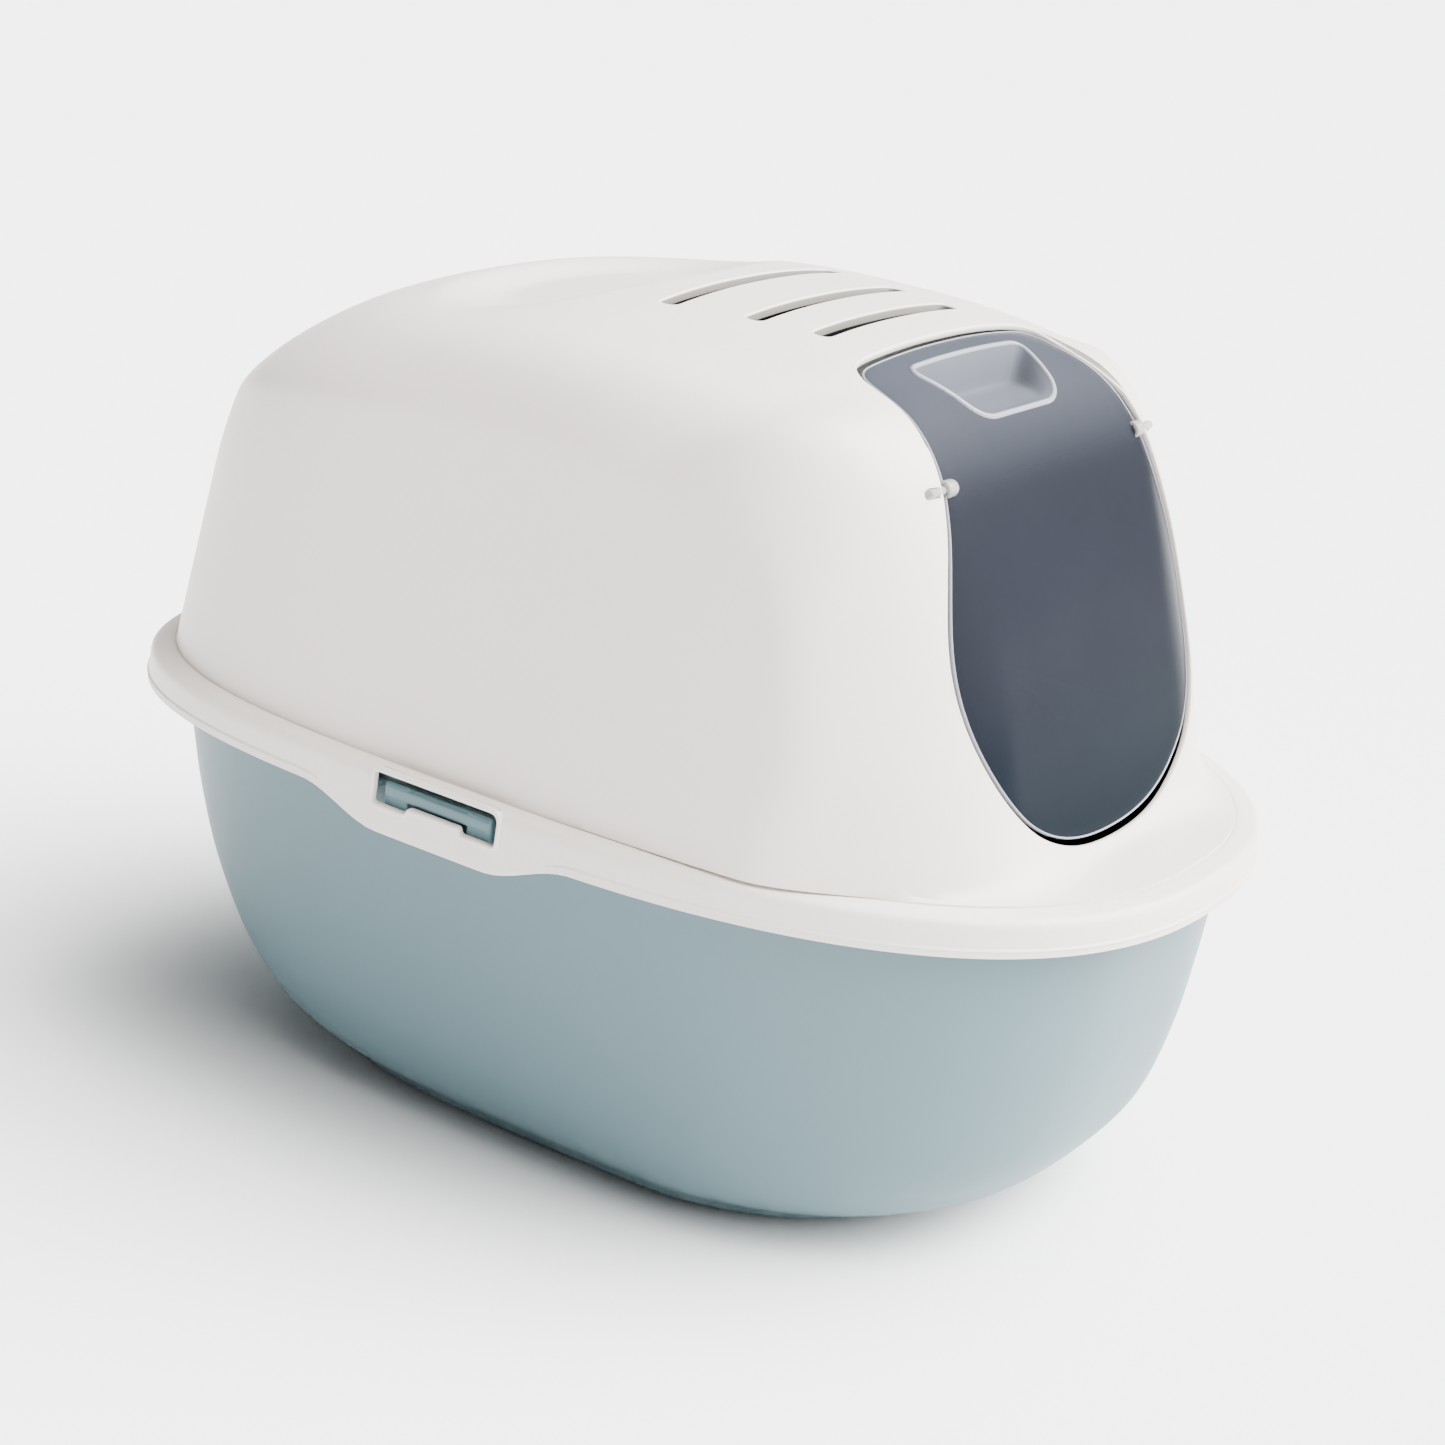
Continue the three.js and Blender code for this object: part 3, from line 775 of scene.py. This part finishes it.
# %% The tray's notches and catch shelves
for side in (-1, 1):
    low, high = sorted((side * 188.7, side * 199))
    cut(tray, bevelled_box(
        "notch_cutter", (low, CATCH_MIDDLE - 36, 179), (high, CATCH_MIDDLE + 36, 192), 0.5))
shelves = []
for side in (-1, 1):
    low, high = sorted((side * 180, side * 195))
    shelves.append(bevelled_box(
        "catch_shelf", (low, CATCH_MIDDLE - 32, 161.4), (high, CATCH_MIDDLE + 32, 163.4), 0.6))
join(tray, *shelves)
tray.name = "moulded_tray"
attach(tray, "tray")
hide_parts("base_tray")
print("tray:", len(tray.data.polygons), "faces")

# %% [markdown]
# ## Side catches
# Each catch is a springy frame: a bar across the top with two legs. The bar's face is crowned
# and is what a thumb presses. It could be one cube with a hole, but its bar and legs stand out
# by different amounts, so it is a flat plate with a hole and three rounded blocks joined to it.

# %% Side catches
CATCH_HALF, CATCH_LOW, CATCH_HIGH = 30, 163.8, 184.3
LEG_INNER = 16.6


def upright_frame(half, low, high):
    """A rounded oblong outline in (place along the side, height)."""
    corners = [(-half, low), (half, low), (half, high), (-half, high)]
    return even_loop(rounded_loop(corners, [2, 2, 2, 2]), 1.2)


def catch_block(name, x_range, half_range, height_range, bevel):
    low, high = zip(x_range, half_range, height_range)
    return bevelled_box(name, (low[0], CATCH_MIDDLE + low[1], low[2]),
                        (high[0], CATCH_MIDDLE + high[1], high[2]), bevel, 4)


def catch_piece(side, word):

    def place(along_side, height, deep):
        return side * (194.6 - deep) + 0 * height, CATCH_MIDDLE + along_side, height

    plate = plug(f"catch_{word}", upright_frame(CATCH_HALF, CATCH_LOW, CATCH_HIGH), place, 0, 2.2)
    cut(plate, plug("catch_hole", upright_frame(22, 169, 181), place, -3, 6))
    bar_x = sorted((side * 193.6, side * 196.3))
    leg_x = sorted((side * 193.6, side * 196.05))
    parts = [catch_block("catch_bar", bar_x, (-CATCH_HALF, CATCH_HALF), (178.4, 184.6), 1.3)]
    for leg in ((-CATCH_HALF, -LEG_INNER), (LEG_INNER, CATCH_HALF)):
        parts.append(catch_block("catch_leg", leg_x, leg, (168, 185.4), 1.1))
    for part in parts:
        apply_modifier(plate, "BOOLEAN", operation="UNION", object=part, solver="EXACT")
        bpy.data.objects.remove(part)
    plate.name = f"catch_{word}"
    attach(plate, f"catch_{word}")
    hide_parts(f"side_catch_{word}")
    return plate


catches = [catch_piece(-1, "left"), catch_piece(1, "right")]
print("catches:", [len(catch.data.polygons) for catch in catches], "faces")

# %% [markdown]
# ## Flap
# The flap is a smoked sheet bent like the hood, thin below and thick above the hinge, so it
# hangs straight. Its outline is the entrance's loop moved in by the gap. Each column of the
# grid runs from a line up its middle out to the edge, round the edge and back along the inside.

# %% Flap
FLAP_INSET, FLAP_THIN, FLAP_THICK, FLAP_GAP = 2.6, 1.4, 3.9, 3.0
flap_outline = moved_out(entrance_loop, -FLAP_GAP)
flap_loop = moved_out(entrance_loop, -FLAP_GAP - 0.5)
flap_edge_line = np.vstack([flap_loop, flap_loop[:1]])
flap_middle = np.stack([
    0 * flap_edge_line[:, 1],
    np.clip(flap_edge_line[:, 1], flap_loop[:, 1].min() + 55, flap_loop[:, 1].max() - 85)], 1)


def flap_thickness(length):
    z = np.interp(length, line_length, hood_curve[:, 1])
    return FLAP_THIN + (FLAP_THICK - FLAP_THIN) * smooth_step((z - 335) / 15)


def flap_row(share, side):
    """One row: side 0 is the outer face, 1 the inner one, between them the rounded edge."""
    reach = flap_middle + share * (flap_edge_line - flap_middle)
    return on_hood(reach[:, 0], reach[:, 1], FLAP_INSET + side * flap_thickness(reach[:, 1]))


FLAT_SHARE = 0.988
flat_shares = np.linspace(0, 1, 22) ** 0.8 * FLAT_SHARE
flap_rows = [flap_row(share, 0) for share in flat_shares]
for a in np.linspace(0.4, math.pi - 0.4, 6):
    flap_rows.append(flap_row(FLAT_SHARE + (1 - FLAT_SHARE) * math.sin(a), 0.5 - 0.5 * math.cos(a)))
flap_rows += [flap_row(share, 1) for share in flat_shares[::-1]]
x, y, z = (np.stack([row[k] for row in flap_rows]) for k in range(3))
flap = rolled_grid("flap_sheet", x, y, z)
print("flap sheet:", len(flap.data.polygons), "faces")

# %% [markdown]
# A clear bead runs round the flap's edge, where the sheet is thickened so that it doesn't cut a
# paw. It is a moulding carried round the flap's outline, and it moves with the flap.

# %% The flap's bead
BEAD_SECTION = [
    (-1.1, 0.2), (-0.95, -0.15), (-0.55, -0.3), (-0.2, -0.15), (0, 0.2), (0, 1.2), (-0.2, 1.6),
    (-0.6, 1.7), (-1.0, 1.4),
]


def behind_face(x, length, deep):
    return on_hood(x, length, FLAP_INSET + deep)


flap_bead = carried_round("flap_bead", even_loop(flap_outline, 2.0), BEAD_SECTION, behind_face)
print("flap bead:", len(flap_bead.data.polygons), "faces")

# %% [markdown]
# ## Finger grip
# A cup sunk in the top of the flap, wider at the back, with a rolled rim along its edge. It is a
# ring of points taken in steps from the rim down the wall to the floor. Bevelling a box would
# be quicker, but the cup's top edge has to lie on the curved flap. Solidify gives it its wall.

# %% The grip's outlines
length_back, length_front = length_at_depth(-105), length_at_depth(-137)
grip_corners = [(-51, length_back), (51, length_back), (37, length_front), (-37, length_front)]
grip_loop = even_loop(rounded_loop(grip_corners, [7, 7, 13, 13], 12), 1.6)
floor_corners = [(-37, -110), (37, -110), (28, -130), (-28, -130)]
grip_floor = rounded_loop(floor_corners, [7, 7, 9, 9], 12)


def matched_loop(points, like):
    """The loop with as many points as another, starting at the same angle about its middle."""
    loop = even_loop(points, 0.5)
    angles = np.arctan2(*(loop - loop.mean(0)).T)
    start = np.argmin(np.abs(angles - np.arctan2(*(like[0] - like.mean(0)))))
    loop = np.roll(loop, -start, axis=0)
    closed = np.vstack([loop, loop[:1]])
    length = along(closed)
    wanted = np.linspace(0, length[-1], len(like) + 1)[:-1]
    return np.stack([np.interp(wanted, length, closed[:, k]) for k in range(2)], 1)


cut(flap, plug("grip_cutter", moved_out(grip_loop, 0.4), behind_face, -6, 9))
grip_loop = even_loop(grip_loop, 1.6)
top_x, top_y, top_z = on_hood(grip_loop[:, 0], grip_loop[:, 1], FLAP_INSET)
floor_xy = matched_loop(grip_floor, np.stack([top_x, top_y], 1))
if np.sum(top_x * np.roll(top_y, -1) - top_y * np.roll(top_x, -1)) < 0:
    floor_xy = matched_loop(grip_floor, np.stack([top_x, top_y], 1)[::-1])[::-1]
    floor_xy = np.roll(floor_xy, 1, axis=0)
floor_x, floor_y = floor_xy.T
print("grip outline:", len(grip_loop), "points")

# %% The grip's rim and cup
GRIP_FLOOR, FLOOR_MIDDLE = 376.5, -120.5
GRIP_RIM_SECTION = [
    (3.0, 0.8), (2.9, -0.1), (2.4, -0.8), (1.7, -1.1), (0.9, -1.05), (0.3, -0.65), (0, 0), (0, 1.4),
    (0.8, 2.2), (2.2, 2.0),
]
grip_rim = carried_round("grip_rim", grip_loop, GRIP_RIM_SECTION, behind_face)
cup_rings = [(top_x, top_y, top_z)]
for share, drop in ((0.16, 0.2), (0.34, 0.45), (0.54, 0.72), (0.68, 0.88), (0.8, 0.96), (1.0, 1.0)):
    cup_rings.append((top_x + share * (floor_x - top_x), top_y + share * (floor_y - top_y),
                      top_z + drop * (GRIP_FLOOR - top_z)))
for share in (0.6, 0.3, 0):
    ring_y = FLOOR_MIDDLE + share * (floor_y - FLOOR_MIDDLE)
    cup_rings.append((share * floor_x, ring_y, GRIP_FLOOR + 0 * floor_x))
x, y, z = (np.stack([np.append(ring[k], ring[k][0]) for ring in cup_rings]) for k in range(3))
grip = rolled_grid("grip_cup", x, y, z)
apply_modifier(grip, "SOLIDIFY", thickness=1.3 * MM, offset=-1)
print("grip:", len(grip.data.polygons), "faces")

# %% [markdown]
# ## Hinge eyes and pins
# The flap has an eye at each side, and a short clear pin goes through it into the hood. Both
# are round, so each is an outline of (x, radius) points turned about the hinge line. Cylinders
# with bevels would do as well, but the eye's small rounded ends are simpler as an outline.

# %% Hinge eyes and pins
EYE_OUTLINE = [
    (88.6, 2.15), (88.1, 2.5), (88, 3.1), (88.3, 3.7), (89.2, 4.0), (94.9, 4.0), (95.7, 3.7),
    (96, 3.1), (95.9, 2.5), (95.5, 2.15), (92, 2.15), (88.6, 2.15),
]
PIN_OUTLINE = [
    (89.5, 0), (89.6, 1.2), (90.2, 1.9), (91, 2.0), (107, 2.0), (107.8, 1.9), (108.4, 1.2), (108.5, 0),
]
eyes, pins = [], []
for side, word in ((-1, "left"), (1, "right")):
    eyes.append(turned_bar("hinge_eye", [(side * x, r) for x, r in EYE_OUTLINE]))
    pin = turned_bar(f"pin_{word}", [(side * x, r) for x, r in PIN_OUTLINE])
    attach(pin, frame["nodes"][f"hinge_pin_{word}"]["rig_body"])
    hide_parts(f"hinge_pin_{word}")
    pins.append(pin)
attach(flap, "flap")
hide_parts("swing_flap")
for piece in (grip, grip_rim, flap_bead, *eyes):
    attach(piece, "flap")
print("eyes and pins:", [len(piece.data.polygons) for piece in (*eyes, *pins)], "faces")

# %% [markdown]
# ## Plastic
# Moulded plastic is never one flat colour: the melt leaves faint clouds, the mould leaves a fine
# spark-eroded grain, and use leaves hairline scuffs that show as duller streaks. One shared
# group makes all three from Object coordinates, and each material gives it its own values.
# Painted textures would need an unwrapped map on every piece; noise in space needs none.

# %% Node helpers
class NodeSheet:
    """Adds nodes to a tree and joins them by short calls."""

    def __init__(self, tree):
        self.tree = tree

    def add(self, kind, settings=None, **inputs):
        node = self.tree.nodes.new("ShaderNode" + kind)
        for key, value in (settings or {}).items():
            setattr(node, key, value)
        for key, value in inputs.items():
            name = key.replace("_", " ")
            numbered = key[0] == "i" and key[1:].isdigit()
            socket = node.inputs[int(key[1:])] if numbered else node.inputs[name]
            if isinstance(value, bpy.types.NodeSocket):
                self.tree.links.new(value, socket)
            else:
                socket.default_value = value
        return node


def new_group(name, inputs, outputs):
    group = bpy.data.node_groups.new(name, "ShaderNodeTree")
    for label, kind, value in inputs:
        socket = group.interface.new_socket(
            name=label, in_out="INPUT", socket_type="NodeSocket" + kind)
        socket.default_value = value
    for label, kind in outputs:
        group.interface.new_socket(name=label, in_out="OUTPUT", socket_type="NodeSocket" + kind)
    given = group.nodes.new("NodeGroupInput").outputs
    return group, given, group.nodes.new("NodeGroupOutput").inputs


print("node helpers ready")

# %% Group: moulded plastic
moulding_group, given, result = new_group(
    "moulded_detail",
    [("Color", "Color", (0.8, 0.8, 0.8, 1)), ("Cloud", "Float", 0.04), ("Grain Scale", "Float", 900),
     ("Grain Height", "Float", 0.1), ("Scuffs", "Float", 0.3), ("Rough Low", "Float", 0.35),
     ("Rough High", "Float", 0.5)],
    [("Color", "Color"), ("Roughness", "Float"), ("Normal", "Vector")])
sheet = NodeSheet(moulding_group)
place = sheet.add("TexCoord").outputs["Object"]
clouds = sheet.add("TexNoise", Vector=place, Scale=14, Detail=4, Roughness=0.55).outputs["Fac"]
streak_place = sheet.add("Mapping", Vector=place, Scale=(260, 30, 120)).outputs["Vector"]
streaks = sheet.add("TexNoise", Vector=streak_place, Scale=1, Detail=3, Roughness=0.6).outputs["Fac"]
scuff = sheet.add("MapRange", Value=streaks, From_Min=0.62, From_Max=0.8).outputs["Result"]
scuff = sheet.add("Math", {"operation": "MULTIPLY"}, i0=scuff, i1=given["Scuffs"]).outputs[0]
cloud = sheet.add("MapRange", Value=clouds, From_Min=0.3, From_Max=0.7, To_Min=-1).outputs["Result"]
multiply_add = {"operation": "MULTIPLY_ADD"}
lighter = sheet.add("Math", multiply_add, i0=cloud, i1=given["Cloud"], i2=1.0).outputs[0]
lighter = sheet.add("Math", multiply_add, i0=scuff, i1=0.05, i2=lighter).outputs[0]
tinted = sheet.add("VectorMath", {"operation": "SCALE"}, i0=given["Color"], Scale=lighter).outputs[0]
moulding_group.links.new(tinted, result["Color"])
fine = sheet.add("TexNoise", Vector=place, Scale=given["Grain Scale"], Detail=2).outputs["Fac"]
rough = sheet.add("Math", {"operation": "ADD"}, i0=clouds, i1=scuff).outputs[0]
rough = sheet.add("MapRange", Value=rough, From_Min=0.3, From_Max=1.0, To_Min=given["Rough Low"],
                  To_Max=given["Rough High"]).outputs["Result"]
moulding_group.links.new(rough, result["Roughness"])
grain = sheet.add(
    "Bump", Height=fine, Strength=given["Grain Height"], Distance=0.0004).outputs["Normal"]
moulding_group.links.new(grain, result["Normal"])
print("moulded detail nodes:", len(moulding_group.nodes))

# %% [markdown]
# Dust and grit gather low down and in the corners of a litter box, and the foot gets rubbed on
# the floor. This mask fades with height and is broken up by noise, so it never reads as a band.

# %% Group: floor rub
rub_group, given, result = new_group(
    "floor_rub", [("Height", "Float", 0.02), ("Amount", "Float", 0.5)], [("Mask", "Float")])
sheet = NodeSheet(rub_group)
place = sheet.add("TexCoord").outputs["Object"]
height_here = sheet.add("SeparateXYZ", Vector=place).outputs["Z"]
low_down = sheet.add(
    "MapRange", Value=height_here, From_Min=given["Height"], From_Max=0.0).outputs["Result"]
broken = sheet.add("TexNoise", Vector=place, Scale=60, Detail=5, Roughness=0.65).outputs["Fac"]
broken = sheet.add("MapRange", Value=broken, From_Min=0.4, From_Max=0.65).outputs["Result"]
mask = sheet.add("Math", {"operation": "MULTIPLY"}, i0=low_down, i1=broken).outputs[0]
mask = sheet.add("Math", {"operation": "MULTIPLY"}, i0=mask, i1=given["Amount"]).outputs[0]
rub_group.links.new(mask, result["Mask"])
print("floor rub nodes:", len(rub_group.nodes))

# %% [markdown]
# ## Plastic materials
# The tray, hood, catches, pins and filter holder are all dyed polypropylene and differ only in
# colour, gloss and wear. They could be eight separate node trees; one function that builds the
# tree and takes those values keeps them alike. The shader itself stays in each material.

# %% Plastic materials
def plastic(name, color, grain_height=0.08, cloud=0.02, scuffs=0.3, rough=(0.34, 0.5), rub=None,
            gloss=0.4):
    material = bpy.data.materials.new(name)
    material.use_nodes = True
    sheet = NodeSheet(material.node_tree)
    shader = material.node_tree.nodes["Principled BSDF"]
    detail = sheet.add("Group", {"node_tree": moulding_group}, Color=(*color, 1), Cloud=cloud,
                       Grain_Height=grain_height, Scuffs=scuffs, Rough_Low=rough[0],
                       Rough_High=rough[1]).outputs
    link = material.node_tree.links.new
    link(detail["Roughness"], shader.inputs["Roughness"])
    link(detail["Normal"], shader.inputs["Normal"])
    if rub:
        rubbed = sheet.add("Group", {"node_tree": rub_group}, Height=rub[0], Amount=rub[1])
        mask = rubbed.outputs["Mask"]
        mixed = sheet.add("Mix", {"data_type": "RGBA"}, Factor=mask)
        link(detail["Color"], mixed.inputs[6])
        mixed.inputs[7].default_value = (*[c * 0.8 + 0.12 for c in color], 1)
        link(mixed.outputs[2], shader.inputs["Base Color"])
    else:
        link(detail["Color"], shader.inputs["Base Color"])
    shader.inputs["IOR"].default_value = 1.49
    shader.inputs["Specular IOR Level"].default_value = gloss
    return material, shader


def dress(piece, material):
    """The piece shows only this material."""
    if piece.data.materials:
        for slot in piece.material_slots:
            slot.material = material
    else:
        piece.data.materials.append(material)


hood_white, _ = plastic(
    "hood_white", (0.74, 0.68, 0.63), rough=(0.36, 0.5), cloud=0.012, grain_height=0.05)
tray_blue, _ = plastic("tray_blue", (0.085, 0.145, 0.165), rough=(0.38, 0.52), cloud=0.025,
                       scuffs=0.5, rub=(0.03, 0.6), grain_height=0.02)
catch_blue, _ = plastic("catch_blue", (0.07, 0.135, 0.15), rough=(0.3, 0.45), cloud=0.03)
holder_grey, _ = plastic("holder_grey", (0.66, 0.65, 0.63), rough=(0.42, 0.56), cloud=0.03)
pin_clear, pin_shader = plastic("pin_clear", (0.40, 0.39, 0.38), rough=(0.15, 0.3), cloud=0.03)
edge_clear, edge_shader = plastic(
    "edge_clear", (0.3, 0.31, 0.345), rough=(0.1, 0.24), cloud=0.04, grain_height=0.03)
edge_shader.inputs["Alpha"].default_value = 0.85
pin_shader.inputs["Alpha"].default_value = 0.62
dress(hood, hood_white)
dress(tray, tray_blue)
for piece in catches:
    dress(piece, catch_blue)
for piece in (*pins, *eyes):
    dress(piece, pin_clear)
for piece in (flap_bead, grip_rim):
    dress(piece, edge_clear)
dress(frame["nodes"]["filter_holder"], holder_grey)
print("materials:", len(bpy.data.materials))

# %% [markdown]
# The walls inside the vents get a second, darker material. Its colour is painted shade: it
# stands in for the shade deep in the narrow slots. A mask in the shader could do this by height,
# but the roof is curved, so the walls' faces are picked by their place and get a second material.

# %% Painted shade on the vent walls
ROOF_FACES_ABOVE = 360
# painted shade: a darker grey that stands in for the shade inside the vent slots
vent_painted_shade, _ = plastic("vent_wall_painted_shade", (0.20, 0.185, 0.17), rough=(0.5, 0.65), cloud=0.06)
hood.data.materials.append(vent_painted_shade)
centres = np.empty(len(hood.data.polygons) * 3)
hood.data.polygons.foreach_get("center", centres)
centres = centres.reshape(-1, 3) / MM
painted_shade = np.zeros(len(centres), np.int32)
for face in np.flatnonzero(centres[:, 2] > ROOF_FACES_ABOVE):
    x, y, z = centres[face]
    for middle, half in VENTS:
        if abs(y - middle) < VENT_WIDTH / 2 + 0.3 and abs(x) < half + 0.3:
            skin = on_roof(x, y, 0)[2]
            painted_shade[face] = skin - VENT_DEPTH - 0.3 < z < skin - 0.5
# the faces inside the slots get the painted shade material
hood.data.polygons.foreach_set("material_index", painted_shade)
print("faces of the vents' dusty walls:", int(painted_shade.sum()))

# %% [markdown]
# ## Smoked plastic
# The flap is see-through grey plastic. It is thicker above the hinge, and its colour there is
# milkier: partly the thicker plastic, partly a painted reflection of the bright sky. Low down its
# colour is darker and bluer, a painted tint of the blue tray seen through it. Alpha is used instead
# of real refraction: the sheet is thin, so it hardly bends light, and the space behind it stays lit.

# %% Smoked plastic
# HINGE_TO_TOP: heights where the colour turns milkier, partly thicker plastic and partly a painted
# reflection; TRAY_TO_HOOD: heights where the painted tint of the tray fades out
HINGE_TO_TOP, TRAY_TO_HOOD = (0.345, 0.40), (0.215, 0.29)


def smoked(name, low, clear, milky_and_sheen, thin, thick):
    """Smoked plastic with its colours low down (a painted tint of the tray seen through), half way and at
    the top (milkier, partly a painted reflection), and its two alphas.
    """
    material, shader = plastic(name, clear, rough=(0.2, 0.25), cloud=0.05, grain_height=0.0,
                               scuffs=0.15, gloss=0.015)
    sheet = NodeSheet(material.node_tree)
    link = material.node_tree.links.new
    detail = next(node for node in material.node_tree.nodes if node.type == "GROUP")
    place = sheet.add("TexCoord").outputs["Object"]
    height_here = sheet.add("SeparateXYZ", Vector=place).outputs["Z"]
    up, above_tray = (
        sheet.add("MapRange", {"interpolation_type": "SMOOTHSTEP"}, Value=height_here,
                  From_Min=low_end, From_Max=high_end).outputs["Result"]
        for low_end, high_end in (HINGE_TO_TOP, TRAY_TO_HOOD))
    # low down the colour is a painted tint of the blue tray seen through the sheet
    plain = sheet.add("Mix", {"data_type": "RGBA"}, Factor=above_tray)
    plain.inputs[6].default_value = (*low, 1)
    plain.inputs[7].default_value = (*clear, 1)
    # towards the top the milkier colour is partly the thicker plastic and partly a painted reflection
    mixed = sheet.add("Mix", {"data_type": "RGBA"}, Factor=up)
    link(plain.outputs[2], mixed.inputs[6])
    mixed.inputs[7].default_value = (*milky_and_sheen, 1)
    link(mixed.outputs[2], detail.inputs["Color"])
    alpha = sheet.add("MapRange", Value=up, To_Min=thin, To_Max=thick).outputs["Result"]
    link(alpha, shader.inputs["Alpha"])
    return material


# the low colours hold a painted tint of the tray, and the top colours hold a painted reflection
dress(flap, smoked("smoked_sheet", (0.0052, 0.0084, 0.0125), (0.0125, 0.014, 0.0188),
                   (0.05, 0.055, 0.068), 0.955, 0.95))
dress(grip, smoked("smoked_cup", (0.085, 0.092, 0.112), (0.085, 0.092, 0.112),
                   (0.12, 0.127, 0.148), 0.9, 0.9))
print("smoked plastic on:", flap.name, grip.name)

# %% [markdown]
# ## Carbon foam
# The filter pad is open-cell foam loaded with carbon: near black, with small pits all over.
# Real pits would need millions of faces, so a cell pattern gives the colour and the bump.

# %% Carbon foam
foam = bpy.data.materials.new("carbon_foam")
foam.use_nodes = True
foam_sheet = NodeSheet(foam.node_tree)
foam_shader = foam.node_tree.nodes["Principled BSDF"]
foam_place = foam_sheet.add("TexCoord").outputs["Object"]
cells = foam_sheet.add("TexVoronoi", Vector=foam_place, Scale=420).outputs["Distance"]
foam_color = foam_sheet.add("ValToRGB", Fac=cells)
foam_color.color_ramp.elements[0].color = (0.006, 0.006, 0.007, 1)
foam_color.color_ramp.elements[1].color = (0.045, 0.046, 0.05, 1)
foam_bump = foam_sheet.add("Bump", Height=cells, Strength=0.8, Distance=0.0012).outputs["Normal"]
foam_rough = foam_sheet.add("MapRange", Value=cells, To_Min=0.98, To_Max=0.8).outputs["Result"]
foam.node_tree.links.new(foam_color.outputs["Color"], foam_shader.inputs["Base Color"])
foam.node_tree.links.new(foam_bump, foam_shader.inputs["Normal"])
foam.node_tree.links.new(foam_rough, foam_shader.inputs["Roughness"])
dress(frame["nodes"]["filter_pad"], foam)
print("foam nodes:", len(foam.node_tree.nodes))

# %% [markdown]
# ## Smooth faces
# The skins are smooth almost everywhere. Shading by angle keeps the few true corners sharp,
# which plain smooth shading would blur.

# %% Smooth faces
SMOOTH_BELOW = 35
for piece in (hood, tray, flap, flap_bead, grip, grip_rim, *catches, *eyes, *pins):
    activate(piece)
    bpy.ops.object.shade_smooth_by_angle(angle=math.radians(SMOOTH_BELOW))
print("smooth faces up to", SMOOTH_BELOW, "degrees")
